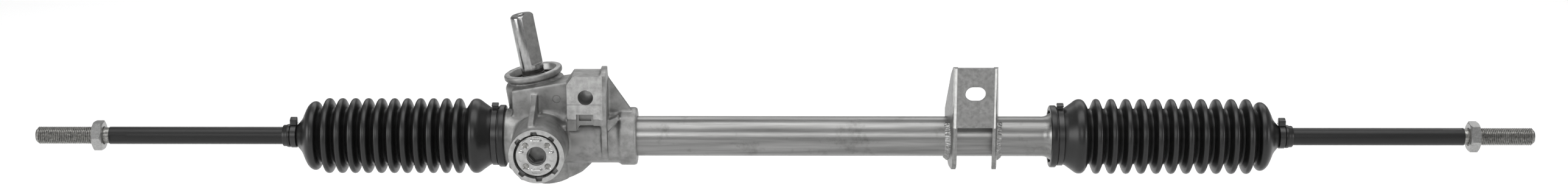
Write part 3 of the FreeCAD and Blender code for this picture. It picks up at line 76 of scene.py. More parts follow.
# The rack's own frame, in millimetres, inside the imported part's frame, in metres
HOME = Matrix.Translation((-0.0367, 0.028, -0.0395)) @ Matrix.Scale(0.001, 4)
LEAN = math.radians(9.8)
PINION = Matrix.Translation((0, 13.8036, 0)) @ Matrix.Rotation(-LEAN, 4, "Y")
X_AXIS, Y_AXIS, Z_AXIS = Vector((1, 0, 0)), Vector((0, 1, 0)), Vector((0, 0, 1))
BOLT = Matrix.Translation((36.7, 0, 39.5))  # the bolt hole's axis
BALLS = {"left": -135.6, "right": 524.6}  # centres of the ball joints, along the rack
DIMPLES = 12.1  # radius of the circle that the cap's dimples lie on
MERGE = 0.0005  # points closer than this are one


def linear(code):
    """An sRGB hex colour as the linear colour that a shader takes."""
    channels = [int(code[i:i + 2], 16) / 255 for i in (1, 3, 5)]
    return [c / 12.92 if c <= 0.04045 else ((c + 0.055) / 1.055) ** 2.4 for c in channels] + [1.0]


# Finishes

def add(tree, kind, settings=None, **sockets):
    """Adds a node, sets its properties, and sets or links its inputs by name."""
    node = tree.nodes.new(kind)
    for key, value in (settings or {}).items():
        setattr(node, key, value)
    for key, value in sockets.items():
        socket = node.inputs[int(key[1:])] if key[1:].isdigit() else node.inputs[key.replace("_", " ")]
        if isinstance(value, bpy.types.NodeSocket):
            tree.links.new(value, socket)
        else:
            socket.default_value = value
    return node


def finish(name, dark, light, metallic, rough, mottle_mm, grain_mm, bump, along=1.0, stains=0.0, **sockets):
    """A metal, rubber or paint that varies between two colours.

    The mottling and the grain have real sizes in millimetres, and along stretches both along the rack.
    Stains darken scattered patches, as handling and casting marks do.
    """
    material = bpy.data.materials.new(name)
    material.use_nodes = True
    tree = material.node_tree
    tree.nodes.clear()
    place = add(tree, "ShaderNodeTexCoord").outputs["Object"]
    stretched = add(tree, "ShaderNodeMapping", Vector=place, Scale=(1 / along, 1, 1)).outputs["Vector"]
    mottle = add(tree, "ShaderNodeTexNoise", Vector=stretched, Scale=1000 / mottle_mm, Detail=4.0, Roughness=0.6)
    grain = add(tree, "ShaderNodeTexNoise", Vector=stretched, Scale=1000 / grain_mm, Detail=2.0)
    ramp = add(tree, "ShaderNodeValToRGB", Fac=mottle.outputs["Fac"])
    for element, position, code in zip(ramp.color_ramp.elements, (0.32, 0.68), (dark, light)):
        element.position = position
        element.color = linear(code)
    colour = ramp.outputs["Color"]
    if stains:
        patch = add(tree, "ShaderNodeTexNoise", Vector=place, Scale=1000 / (mottle_mm * 4), Detail=6.0, Roughness=0.7)
        spread = add(tree, "ShaderNodeMapRange", Value=patch.outputs["Fac"])
        spread.inputs["From Min"].default_value = 0.56
        spread.inputs["From Max"].default_value = 0.72
        spread.inputs["To Max"].default_value = stains
        darker = add(tree, "ShaderNodeMix", {"data_type": "RGBA", "blend_type": "MULTIPLY"})
        tree.links.new(spread.outputs["Result"], darker.inputs["Factor"])
        tree.links.new(colour, darker.inputs[6])
        darker.inputs[7].default_value = (0.25, 0.24, 0.22, 1)
        colour = darker.outputs[2]
    gloss = add(tree, "ShaderNodeMapRange", Value=grain.outputs["Fac"])
    gloss.inputs["To Min"].default_value = rough[0]
    gloss.inputs["To Max"].default_value = rough[1]
    relief = add(tree, "ShaderNodeBump", Height=grain.outputs["Fac"], Strength=bump, Distance=grain_mm / 4000)
    shader = add(
        tree, "ShaderNodeBsdfPrincipled", Base_Color=colour, Metallic=metallic,
        Roughness=gloss.outputs["Result"], Normal=relief.outputs["Normal"], **sockets)
    add(tree, "ShaderNodeOutputMaterial", Surface=shader.outputs["BSDF"])
    return material


def finishes():
    """Every finish of the steering rack, by the name of what it is."""
    return {
        # die-cast aluminium, shot-blasted: soft grey with a fine grain and handling marks
        "cast": finish(
            "Shot-blasted cast aluminium", "#70706f", "#959594", 0.85, (0.42, 0.58), 9, 0.55, 0.35, stains=0.4),
        # milled faces of that casting: brighter, with a faint silky tool mark
        "milled": finish("Milled aluminium", "#8f8f8e", "#adadac", 0.9, (0.34, 0.5), 5, 0.35, 0.12),
        # seamless drawn tube, phosphated and oiled: streaks run along it
        "tube": finish("Drawn steel tube", "#6a6a69", "#8b8b8a", 0.9, (0.26, 0.4), 5, 0.5, 0.1, along=22, stains=0.45),
        # zinc-plated pressed sheet: cool grey with faint spangle
        "sheet": finish(
            "Zinc-plated sheet steel", "#717170", "#8c8c8b", 0.9, (0.3, 0.44), 3.5, 0.5, 0.12, stains=0.35),
        # weld metal: lumpy and a little brighter than the tube beside it
        "weld": finish("Weld bead", "#6c6c6b", "#989897", 0.85, (0.3, 0.5), 2, 0.9, 0.6),
        # centreless-ground bar: smooth, bright
        "ground": finish("Ground steel bar", "#7f7f7f", "#a2a2a1", 1.0, (0.14, 0.24), 6, 0.3, 0.05, along=0.3),
        # milled flat of the shaft: matt beside the ground bar
        "flat": finish("Milled steel flat", "#6a6a69", "#7d7d7c", 0.9, (0.42, 0.55), 4, 0.4, 0.2),
        # bearing rings and balls, polished; on the bracket's bends its brighter colour is a painted highlight
        "bearing": finish("Polished bearing steel", "#b9b9b8", "#d8d8d6", 1.0, (0.1, 0.2), 5, 0.3, 0.03),
        # phosphated spring steel of the snap rings
        "spring": finish("Phosphated spring steel", "#2b2a29", "#403f3d", 0.6, (0.4, 0.55), 3, 0.4, 0.2),
        # chromated zinc on the cap: bright, mirror-like on its rounded shoulders
        "cap": finish("Bright zinc-plated cap", "#959594", "#adadac", 1.0, (0.2, 0.3), 5, 0.4, 0.04),
        "nut": finish("Zinc-plated nut", "#8a8a89", "#a4a4a3", 0.95, (0.26, 0.4), 1.2, 0.4, 0.12),
        # rolled thread with dirt in its roots
        "thread": finish("Rolled thread", "#5c5c5a", "#9c9b98", 0.95, (0.25, 0.42), 1.6, 0.4, 0.2, stains=0.5),
        # black paint on the rods: satin, slightly worn
        "rod": finish("Black chassis paint", "#070707", "#0e0e0e", 0.0, (0.36, 0.48), 12, 0.6, 0.12, along=4, IOR=1.4),
        "strap": finish("Black clamp strap", "#0c0c0c", "#1a1a1a", 0.0, (0.28, 0.4), 4, 0.5, 0.1, IOR=1.5),
        # moulded rubber of the bellows: matt black with a soft sheen on its crests
        "rubber": finish("Moulded rubber", "#050505", "#0b0b0b", 0.0, (0.3, 0.42), 6, 0.45, 0.12, IOR=1.45),
        "plastic": finish("Acetal resin", "#cfc8b6", "#ddd7c8", 0.0, (0.4, 0.5), 8, 0.5, 0.05, IOR=1.48),
        "bronze": finish("Sintered bronze", "#8a6a3c", "#a58350", 0.9, (0.35, 0.5), 2, 0.3, 0.2),
    }


# Shaping

def weave(bm, rows, closed):
    """Joins rows of points, all of one length, with faces."""
    for row, following in zip(rows, rows[1:]):
        spots = list(zip(row, following))
        for (a, b), (d, c) in zip(spots, spots[1:] + spots[:1] if closed else spots[1:]):
            bm.faces.new((a, b, c, d))


def ring_of(bm, profile, axis, segments, closed=True):
    """Spins a profile of (along, radius) about a horizontal or upright axis through the origin.

    A closed profile gives a ring with a bore, and an open one that starts and ends on the axis a solid.
    """
    across = Z_AXIS if axis.z < 0.5 else X_AXIS
    rows = []
    for step in range(segments):
        out = Matrix.Rotation(2 * math.pi * step / segments, 3, axis) @ across
        rows.append([bm.verts.new(axis * along + out * radius) for along, radius in profile])
    weave(bm, rows + rows[:1], closed)
    bmesh.ops.remove_doubles(bm, verts=bm.verts, dist=MERGE)
    bmesh.ops.recalc_face_normals(bm, faces=bm.faces)


def turned(profile, axis=X_AXIS, segments=96, closed=True, place=None):
    """A bmesh turned from its profile, in the rack's millimetres."""
    bm = bmesh.new()
    ring_of(bm, profile, axis, segments, closed)
    if place:
        bmesh.ops.transform(bm, matrix=place, verts=bm.verts)
    return bm


def prism(corners, low, high, plane="XZ"):
    """A bmesh prism with its outline in the XZ, XY or YZ plane, from low to high along the third axis."""
    bm = bmesh.new()
    spots = {"XZ": lambda a, b: (a, low, b), "XY": lambda a, b: (a, b, low), "YZ": lambda a, b: (low, a, b)}
    push = {"XZ": Y_AXIS, "XY": Z_AXIS, "YZ": X_AXIS}[plane] * (high - low)
    face = bm.faces.new([bm.verts.new(spots[plane](a, b)) for a, b in corners])
    grown = bmesh.ops.extrude_face_region(bm, geom=[face])
    bmesh.ops.translate(bm, vec=push, verts=[v for v in grown["geom"] if isinstance(v, bmesh.types.BMVert)])
    bmesh.ops.recalc_face_normals(bm, faces=bm.faces)
    return bm


def round_off(bm, radius, segments, wanted):
    """Bevels the edges that the test picks out."""
    edges = [edge for edge in bm.edges if wanted(edge)]
    bmesh.ops.bevel(
        bm, geom=edges, offset=radius, offset_type="OFFSET", segments=segments, profile=0.5,
        affect="EDGES", material=-1, clamp_overlap=True)


def scratch_object(bm, name="scratch"):
    """A temporary object from a bmesh."""
    mesh = bpy.data.meshes.new(name)
    bm.to_mesh(mesh)
    bm.free()
    thing = bpy.data.objects.new(name, mesh)
    bpy.context.scene.collection.objects.link(thing)
    return thing


def settle(thing):
    """Applies a temporary object's modifiers and hands back its mesh as a bmesh."""
    evaluated = thing.evaluated_get(bpy.context.evaluated_depsgraph_get())
    bm = bmesh.new()
    bm.from_mesh(evaluated.to_mesh())
    evaluated.to_mesh_clear()
    mesh = thing.data
    bpy.data.objects.remove(thing)
    bpy.data.meshes.remove(mesh)
    return bm


def joined(base, others, operation="DIFFERENCE"):
    """Cuts or adds the other bmeshes, all in one step."""
    thing = scratch_object(base)
    tools = [scratch_object(bm, "tool") for bm in others]
    group = bpy.data.collections.new("tools")
    for tool in tools:
        group.objects.link(tool)
    step = thing.modifiers.new("cut", "BOOLEAN")
    step.operation = operation
    step.solver = "EXACT"
    step.operand_type = "COLLECTION"
    step.collection = group
    bpy.context.view_layer.update()
    result = settle(thing)
    for tool in tools:
        mesh = tool.data
        bpy.data.objects.remove(tool)
        bpy.data.meshes.remove(mesh)
    bpy.data.collections.remove(group)
    return result


def absorb(bm, others):
    """Puts the other bmeshes into this one, uncut."""
    for other in others:
        mesh = bpy.data.meshes.new("form")
        other.to_mesh(mesh)
        other.free()
        bm.from_mesh(mesh)
        bpy.data.meshes.remove(mesh)
    return bm


def sliced(bm, spot, normal, **options):
    """Slices a bmesh along a plane and hands back the edges of the slice."""
    cut = bmesh.ops.bisect_plane(
        bm, geom=bm.verts[:] + bm.edges[:] + bm.faces[:], plane_co=spot, plane_no=normal, **options)
    return [item for item in cut["geom_cut"] if isinstance(item, bmesh.types.BMEdge)]


def close_holes(bm):
    """Fills every open rim."""
    bmesh.ops.holes_fill(bm, edges=[edge for edge in bm.edges if edge.is_boundary])


def copy_of(node):
    """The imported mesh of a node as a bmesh, merged, in the rack's millimetres."""
    bm = bmesh.new()
    bm.from_mesh(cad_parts[node].data)
    bmesh.ops.transform(bm, matrix=HOME.inverted(), verts=bm.verts)
    bmesh.ops.remove_doubles(bm, verts=bm.verts, dist=MERGE)
    return bm


def make_piece(bm, name, body, material, nodes=(), crease=30, pick=None):
    """Turns a bmesh into a piece on its body: smooth but for creases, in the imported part's frame.

    The pick is a function from a face's centre and normal, in the rack's millimetres, to the index of
    another finish in the list of materials.
    """
    materials = material if isinstance(material, list) else [material]
    bm.normal_update()
    for face in bm.faces:
        face.smooth = True
        face.material_index = pick(face.calc_center_median(), face.normal) if pick else 0
    for edge in bm.edges:
        if len(edge.link_faces) == 2:
            edge.smooth = edge.calc_face_angle(0) < math.radians(crease)
    bmesh.ops.transform(bm, matrix=HOME, verts=bm.verts)
    mesh = bpy.data.meshes.new(name)
    bm.to_mesh(mesh)
    bm.free()
    for one in materials:
        mesh.materials.append(one)
    thing = bpy.data.objects.new(name, mesh)
    bpy.context.scene.collection.objects.link(thing)
    if body:
        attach(thing, body)
    if nodes:
        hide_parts(*nodes)
    return thing


def smoothed_path(points, steps):
    """A smooth line through points of (along, radius), read from a spline of Blender's own."""
    curve = bpy.data.curves.new("profile", "CURVE")
    spline = curve.splines.new("BEZIER")
    spline.bezier_points.add(len(points) - 1)
    for spot, (along, radius) in zip(spline.bezier_points, points):
        spot.co = (along, radius, 0)
        spot.handle_left_type = spot.handle_right_type = "AUTO"
    spline.resolution_u = steps
    thing = bpy.data.objects.new("profile", curve)
    mesh = bpy.data.meshes.new_from_object(thing)
    path = [(vert.co.x, vert.co.y) for vert in mesh.vertices]
    bpy.data.objects.remove(thing)
    bpy.data.curves.remove(curve)
    bpy.data.meshes.remove(mesh)
    return path


# Sizes and colours that a user would change

def length(name, value, description):
    """A size in metres, for a group of sizes."""
    return FloatProperty(name=name, description=description, default=value, min=0.0, unit="LENGTH")


class CastingSizes(bpy.types.PropertyGroup):
    grain: length("Casting voxel", 0.0008, "Voxel of the remesh that melts the casting's forms together")
    rounds: IntProperty(name="Rounding", description="Passes that round the casting's edges", default=3, min=0)
    fillet: IntProperty(
        name="Fillets", description="Passes that blend the yoke boss into the barrel", default=40, min=0)


class RodSizes(bpy.types.PropertyGroup):
    radius: length("Rod radius", 0.007, "Radius of a tie rod and of its thread")
    pitch: length("Thread pitch", 0.0015, "Distance between two turns of the thread")
    nut: length("Nut width", 0.022, "Jam nut across its flats")


class BootSizes(bpy.types.PropertyGroup):
    crest: length("Crest radius", 0.03, "Radius of the bellows at their crests")
    valley: length("Valley radius", 0.0222, "Radius of the bellows in their valleys")
    crests: IntProperty(name="Crests", description="Narrow crests of each bellows", default=11, min=3)


class StageLook(bpy.types.PropertyGroup):
    floor: FloatVectorProperty(
        name="Floor", description="Colour of the floor", subtype="COLOR", size=3, default=(0.94, 0.94, 0.94))
    drop: length("Floor drop", 0.06, "Gap between the rack and the floor, so that a lowered rod stays clear")


# The castings

class RACK_OT_casting(bpy.types.Operator):
    """Builds the die-cast housing with its rounded forms and its milled faces"""
    bl_idname = "steering_rack.casting"
    bl_label = "Housing"

    def execute(self, context):
        sizes = context.scene.casting_sizes
        skin = finishes_of(context)
        raw = scratch_object(cast_forms())
        melt = raw.modifiers.new("melt", "REMESH")
        melt.mode = "VOXEL"
        melt.voxel_size = sizes.grain * 1000
        rounding = raw.modifiers.new("round", "SMOOTH")
        rounding.factor = 0.5
        rounding.iterations = sizes.rounds
        bpy.context.view_layer.update()
        melted = settle(raw)
        soft = [vert for vert in melted.verts if is_soft(vert.co)]
        for _ in range(sizes.fillet):
            bmesh.ops.smooth_vert(melted, verts=soft, factor=0.5, use_axis_x=True, use_axis_y=True, use_axis_z=True)
        bm = joined(melted, machined_cuts())
        make_piece(
            bm, "housing_casting", "rack_housing", [skin["cast"], skin["milled"]],
            ["housing"], crease=42, pick=is_milled)
        return {"FINISHED"}


def cast_forms():
    """The forms that the foundry casts, before any is milled: they overlap and are melted together."""
    forms = [
        # barrel with its collar and the boot's seat
        turned([(-44, 0), (-44, 20.2), (-43, 21), (-29.5, 21), (-29.5, 22), (-26.5, 21.5), (60.6, 21.5),
                (62.2, 22.6), (63.2, 23.3), (74, 23.3), (75.6, 22.2), (75.6, 0)], closed=False),
        # tower about the pinion, its neck and rounded lip
        turned([(-41, 0), (-41, 13), (-37, 17), (-15, 18), (-8, 25.2), (41, 24.1), (43.4, 23.2), (44.8, 21.4),
                (45.2, 20.4), (46.2, 20.4), (47.2, 22.4), (48, 23.5), (51.2, 23.6), (52.2, 22.8), (52.2, 0)],
               Z_AXIS, closed=False, place=PINION),
        # yoke boss and its foot on the barrel
        turned([(-59, 0), (-59, 21.85), (-23, 22.1), (-20, 23.4), (-17, 23.2), (-9, 20.6), (-4, 20), (-4, 0)], Y_AXIS,
               closed=False),
        # round boss of the bolt, behind the block
        turned([(-24, 0), (-24, 12), (14, 12), (14, 0)], Y_AXIS, closed=False, place=BOLT),
    ]
    box = prism([(-21.5, 12), (-16.2, 43.6), (30.6, 43.6), (27.6, 12)], -25.9, 0)
    round_off(box, 1.2, 2, lambda e: all(v.co.y < -25 and v.co.x < -16 for v in e.verts)
              or all(v.co.y < -25 and v.co.z > 43 for v in e.verts))
    bmesh.ops.transform(box, matrix=PINION, verts=box.verts)
    step = prism([(8.5, 20.6), (22, 20.2), (22, 17), (10, 17)], -13.2, -8)
    block = prism([(21.5, 11.8), (29.6, 11.8), (31.2, 16), (48.7, 16), (48.7, 57), (26.4, 57), (21.5, 49.9)],
                  -27.3, -4)
    land = prism([(22, 22), (49.4, 22), (49.4, 56.2), (26.7, 56.2), (22, 49.7)], -29, -4)
    wall = prism([(-27.8, 14), (-27.8, 56.9), (-23, 60.2), (-7, 60.2), (8.7, 35), (8.7, 0.5), (-10, -18.7),
                  (-18.7, -14), (-24.2, -4)], 48.2, 53, "YZ")
    gusset = prism([(49.8, 4), (71.8, 4), (71.8, 22.8), (52.8, 51), (49.8, 51)], -6.4, -1.8)
    web = prism([(-2, 4), (49.6, 4), (49.6, 35.5), (36.7, 49.5), (4, 41.5)], -8, 10)
    rib = prism([(-8, 10), (-8, 39.2), (-13, 37.9), (-51, 22.5), (-51, 10)], -7.2, -2.6, "YZ")
    keel = prism([(-29.2, -8), (-29.2, -28.2), (-26.6, -30.2), (-19.6, -38.8), (-9, -40.8), (0, -40.8), (15.6, -38.2),
                  (23, -35.2), (30, -31.6), (38, -24.2), (40, -8)], 3.8, 17.8)
    side_rib = prism([(51, 10), (54, 10), (62.6, 19.6), (61.4, 22.4), (51, 18.2)], -22.5, -14)
    flash = prism([(12.5, 15.8), (22, 15.8), (22, 11.6), (17.5, 11.4)], -24.5, -14)
    forms += [box, step, block, land, wall, gusset, web, rib, keel, side_rib, flash]
    return absorb(bmesh.new(), forms)


def machined_cuts():
    """What is milled, bored or cored out of the casting."""
    yoke_way = turned([(-30, 0), (-30, 17), (-45, 17), (-45, 18.05), (-60, 18.05), (-60, 0)], Y_AXIS, 128, False)
    face = prism([(-30, -30), (30, -30), (30, 30), (-30, 30)], -62, -58)
    tower_way = turned([(30, 0), (30, 16.5), (36.5, 16.5), (36.5, 18.52), (51.2, 18.52), (52.4, 19.6), (52.4, 0)],
                       Z_AXIS, 128, False, PINION)
    tower_face = turned([(52, 0), (52, 30), (58, 30), (58, 0)], Z_AXIS, 64, False, PINION)
    bolt = turned([(-30, 0), (-30, 6.1), (16, 6.1), (16, 0)], Y_AXIS, 64, False, BOLT)
    land = prism([(15, 15), (49.4, 15), (49.4, 60), (15, 60)], -32, -28)
    mill_step = prism([(20, 33.5), (48.6, 33.5), (48.6, 33.9), (20, 33.9)], -29, -27.85)
    notch = prism([(29, 8), (42.6, 8), (42.6, 25.7), (29, 25.7)], -31, -24.6)
    deep = prism([(31, 19.6), (40.8, 19.6), (40.8, 24.4), (31, 24.4)], -31, -21.8)
    pin_mark = turned([(-13, 2.7), (-11.5, 2.7), (-11.5, 3.4), (-13, 3.4)], Y_AXIS, 48, True,
                      Matrix.Translation((12.4, 0, 34.2)))
    tube_way = turned([(50, 0), (50, 16.01), (80, 16.01), (80, 0)], X_AXIS, 96, False)
    rack_way = turned([(-50, 0), (-50, 12.5), (51, 12.5), (51, 0)], X_AXIS, 96, False)
    cuts = [yoke_way, face, tower_way, tower_face, bolt, land, mill_step, notch, deep, pin_mark, tube_way,
            rack_way]
    for angle in (95, 50, -40, -85, -130, 140):
        slot = prism([(-3.3, 16), (3.3, 16), (2.1, 20.3), (-2.1, 20.3)], -60, -53)
        turn = Matrix.Rotation(math.radians(90 - angle), 4, "Y")
        bmesh.ops.transform(slot, matrix=turn, verts=slot.verts)
        cuts.append(slot)
    return cuts


def is_soft(spot):
    """The crossings of the yoke boss, the barrel and the box are wide fillets; the rib on them is not."""
    front = -25 < spot.y < -8.5
    above = front and -26 < spot.x < 19.5 and 6 < spot.z < 25 and not (-9.6 < spot.x < -0.2 and spot.z > 15)
    round_boss = -25 < spot.y < -6 and spot.x < 16 and spot.z <= 6 and 19 < math.hypot(spot.x, spot.z) < 28
    return above or round_boss


def is_milled(spot, normal):
    """The ring face, the pad, the tower's mouth and the bores are milled; the rest is as cast."""
    ring = spot.y < -57.9
    pad = spot.y < -27.95 and 21 < spot.x < 50 and spot.z > 20
    inside = math.hypot(spot.x, spot.z) < 18.4 and spot.y < -30
    local = PINION.inverted() @ spot
    away = math.hypot(local.x, local.y)
    mouth = (away < 19.8 and local.z > 36) or (away < 22.6 and local.z > 51.7)
    return int(ring or pad or inside or mouth)


# Tube and bracket

class RACK_OT_tube(bpy.types.Operator):
    """Builds the drawn tube, the slotted bracket and its welds"""
    bl_idname = "steering_rack.tube"
    bl_label = "Tube and bracket"

    def execute(self, context):
        skin = finishes_of(context)
        flare = smoothed_path(
            [(398, 16), (402, 16.1), (404.5, 17), (407, 18.6), (409, 20.2), (411, 20.9), (413, 21)], 4)
        outer = [(50, 13.5), (50, 15.2), (51, 16)] + flare + [(418, 21), (419, 20.2), (419, 18.5)]
        bm = turned(outer + [(411, 18.5), (402, 13.5)], segments=128)
        make_piece(bm, "tube", "rack_housing", skin["tube"], ["rack_tube"])
        bm = copy_of("mounting_bracket")
        # the plate is sliced at its lower edge, and its outer bends above it take the polished bearing finish: the
        # brighter colour there is a painted highlight along each bend, the lower roughness a real gloss
        plate_low = 14.5
        sliced(bm, (0, 0, plate_low), Z_AXIS)
        make_piece(
            bm, "bracket", "rack_housing", [skin["sheet"], skin["bearing"]],
            ["mounting_bracket"], pick=lambda spot, normal: int(
                spot.z > plate_low and normal.y < -0.15 and 0.15 < abs(normal.x) < 0.97))
        # the flanks leave the plate at these places along the rack
        for side, x, way in (("left", 327.4, -1), ("right", 361.8, 1)):
            make_piece(weld_bead(x, way), "weld_" + side, "rack_housing", skin["weld"])
        return {"FINISHED"}


def weld_bead(x, way):
    """A rippled fillet round the front of the tube, outside the splayed flank of the bracket."""
    root, plate_face, splay = 15.8, -29, math.radians(7)
    back, top, ripple = -4.5, 14.5, 0.3
    section = [(-0.6, root), (-0.6, 18.9), (0.5, 18.7), (1.6, 17.6), (2.8, 16.7), (3.9, root)]
    bm = turned([(x + way * along, radius) for along, radius in section], segments=180)
    away = [v for v in bm.verts if v.co.y > back or v.co.z > top]
    bmesh.ops.delete(bm, geom=away, context="VERTS")
    for vert in bm.verts:
        turn = math.atan2(vert.co.z, vert.co.y)
        rise = math.hypot(vert.co.y, vert.co.z) - root
        vert.co.x += way * (vert.co.y - plate_face) * math.tan(splay)
        if rise > ripple:
            vert.co.x += way * ripple * math.sin(turn * 23)
            vert.co += Vector((0, vert.co.y, vert.co.z)) * (0.016 * math.sin(turn * 57))
    close_holes(bm)
    bmesh.ops.recalc_face_normals(bm, faces=bm.faces)
    return bm


# Pinion, bearing and yoke

class RACK_OT_pinion(bpy.types.Operator):
    """Builds the pinion shaft with its flat, and the bearing under the tower's mouth"""
    bl_idname = "steering_rack.pinion"
    bl_label = "Pinion and bearing"

    def execute(self, context):
        skin = finishes_of(context)
        bm = turned([(44.8, 9.9), (48, 9.9), (48.6, 9.25), (50.2, 9.25), (50.5, 8.85), (53.1, 8.85), (53.4, 9.25),
                     (96.9, 9.25), (97.6, 8.9), (98.4, 8), (98.4, 2.9), (97.9, 2.5), (96.4, 2.4), (94.4, 0)],
                    Z_AXIS, 128, False)
        close_holes(bm)
        angle = math.radians(50)
        away = Vector((math.sin(angle), -math.cos(angle), 0))
        flat, flat_low = 6.75, 57
        cutter = prism([(-12, flat_low), (12, flat_low), (12, 104), (-12, 104)], -12, -flat)
        round_off(cutter, 2, 3, lambda e: all(v.co.z < 58 and v.co.y > -7 for v in e.verts))
        bmesh.ops.transform(cutter, matrix=Matrix.Rotation(angle, 4, "Z"), verts=cutter.verts)
        bm = joined(bm, [cutter])
        bmesh.ops.transform(bm, matrix=PINION, verts=bm.verts)
        back = PINION.inverted()
        # the shaft takes the dark snap-ring finish in a band from 50.2 to 53.4 mm up, round its shallow groove where
        # it enters the tower's mouth
        make_piece(
            bm, "pinion_input_shaft", "pinion", [skin["ground"], skin["flat"], skin["spring"]],
            pick=lambda spot, normal: 2 if 50.2 < (back @ spot).z < 53.4 else int(
                (back @ spot).dot(away) > flat - 0.05 and (back @ spot).z > flat_low
                and math.hypot(*(back @ spot).xy) < 9.15))
        make_piece(teeth_and_journal(), "pinion_gear", "pinion", skin["ground"], ["pinion_shaft"])
        for node, look, body, slot in (
                ("bearing_outer_ring", "bearing", "rack_housing", "bearing_steel"),
                ("bearing_inner_ring", "bearing", "pinion", "bearing_steel"),
                ("bearing_balls", "bearing", "pinion_bearing_cage", "bearing_steel"),
                ("bearing_cage", "spring", "pinion_bearing_cage", "bearing_steel"),
                ("lower_bush", "bronze", "rack_housing", "bush_bronze")):
            make_piece(copy_of(node), node + "_finished", body, skin[look], [node])
        bm = snap_ring([(45.52, 16.4), (45.52, 19.3), (46.7, 19.3), (46.7, 16.4)], -18.5, -1)
        make_piece(bm, "snap_ring", "rack_housing", skin["spring"], ["bearing_snap_ring"])
        bm = snap_ring([(45.52, 9.42), (45.52, 11.8), (46.68, 11.8), (46.68, 9.42)], 11.5, 1)
        make_piece(bm, "shaft_circlip", "pinion", skin["spring"], ["pinion_circlip"])
        return {"FINISHED"}


def teeth_and_journal():
    """The hidden end of the pinion, with its teeth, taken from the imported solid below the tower's mouth."""
    bm = copy_of("pinion_shaft")
    base = PINION @ Vector((0, 0, 45))
    up = PINION.to_3x3() @ Z_AXIS
    bmesh.ops.holes_fill(bm, edges=sliced(bm, base, up, clear_outer=True))
    return bm


def snap_ring(section, gap_at, way):
    """A flat ring with a gap and two drilled ears at the gap."""
    low, high = section[1][0], section[2][0]

    def pegs(radius, segments, depth, level):
        pair = []
        for side in (-1, 1):
            peg = bmesh.new()
            bmesh.ops.create_cone(
                peg, cap_ends=True, segments=segments, radius1=radius, radius2=radius, depth=depth,
                matrix=Matrix.Translation((side * 3.2, gap_at + way * -0.2, level)))
            pair.append(peg)
        return pair

    gap = prism([(-2, -30), (2, -30), (2, -abs(gap_at) + 4), (-2, -abs(gap_at) + 4)], 40, 50, "XY")
    bm = joined(turned(section, Z_AXIS, 96), [gap])
    bm = joined(bm, pegs(1.9, 24, high - low, (low + high) / 2), "UNION")
    bm = joined(bm, pegs(0.8, 16, 8, low))
    bmesh.ops.transform(bm, matrix=PINION, verts=bm.verts)
    return bm


class RACK_OT_yoke(bpy.types.Operator):
    """Builds the adjuster cap with its beads and dimples, and finishes the yoke behind it"""
    bl_idname = "steering_rack.yoke"
    bl_label = "Adjuster cap and yoke"

    def execute(self, context):
        skin = finishes_of(context)
        front = [(-56.6, 7.75 + 0.32 * step) for step in range(24)]
        shoulder = smoothed_path([(-56.6, 15.3), (-56.4, 16.1), (-55.8, 16.6), (-55.0, 16.75), (-54.0, 16.75)], 4)
        rim = [(-53.2, 17.95), (-48.6, 17.95), (-48.6, 16.15), (-54.8, 15.2), (-54.8, 7.9), (-55.4, 7.75),
               (-56.2, 7.6)]
        bm = turned(front + shoulder + rim, Y_AXIS, 160)
        for vert in bm.verts:
            if vert.co.y < -56.3:
                vert.co.y += cap_relief(vert.co.x, vert.co.z)
        make_piece(bm, "adjuster_cap_pressed", "rack_housing", [skin["cap"], skin["thread"]],
                   ["adjuster_cap"], pick=is_dimple)
        for node, look, slot in (
                ("yoke_spring_guide", "flat", "ground_steel"), ("yoke", "milled", "yoke_aluminium"),
                ("yoke_liner", "plastic", "slide_plastic"), ("yoke_spring", "spring", "spring_steel"),
                ("yoke_o_ring", "rubber", "seal_rubber")):
            make_piece(copy_of(node), node + "_finished", "rack_housing", skin[look], [node])
        return {"FINISHED"}


def cap_relief(x, z):
    """How far the cap's face is pressed in at a spot: four raised beads and four round dimples."""
    move, bead_high, dimple_deep = 0.0, 1.1, 0.8
    for quarter in range(4):
        angle = math.radians(90 * quarter)
        along = x * math.cos(angle) + z * math.sin(angle)
        across = -x * math.sin(angle) + z * math.cos(angle)
        reach = math.hypot(along - 11.9, max(abs(across) - 2.4, 0)) / 2.5
        move -= bead_high * max(1 - reach ** 2, 0) ** 1.5
        angle += math.radians(45)
        spot = math.hypot(x - DIMPLES * math.cos(angle), z - DIMPLES * math.sin(angle)) / 2.6
        move += dimple_deep * min(max(1 - spot, 0) * 4, 1)
    return move


def is_dimple(spot, normal):
    """The floors of the cap's round dimples are knurled, and look darker."""
    turns = [math.radians(turn) for turn in (45, 135, 225, 315)]
    away = [math.hypot(spot.x - DIMPLES * math.cos(turn), spot.z - DIMPLES * math.sin(turn)) for turn in turns]
    return int(min(away) < 2.3 and spot.y < -55)


# Rack, ball joints, tie rods, nuts

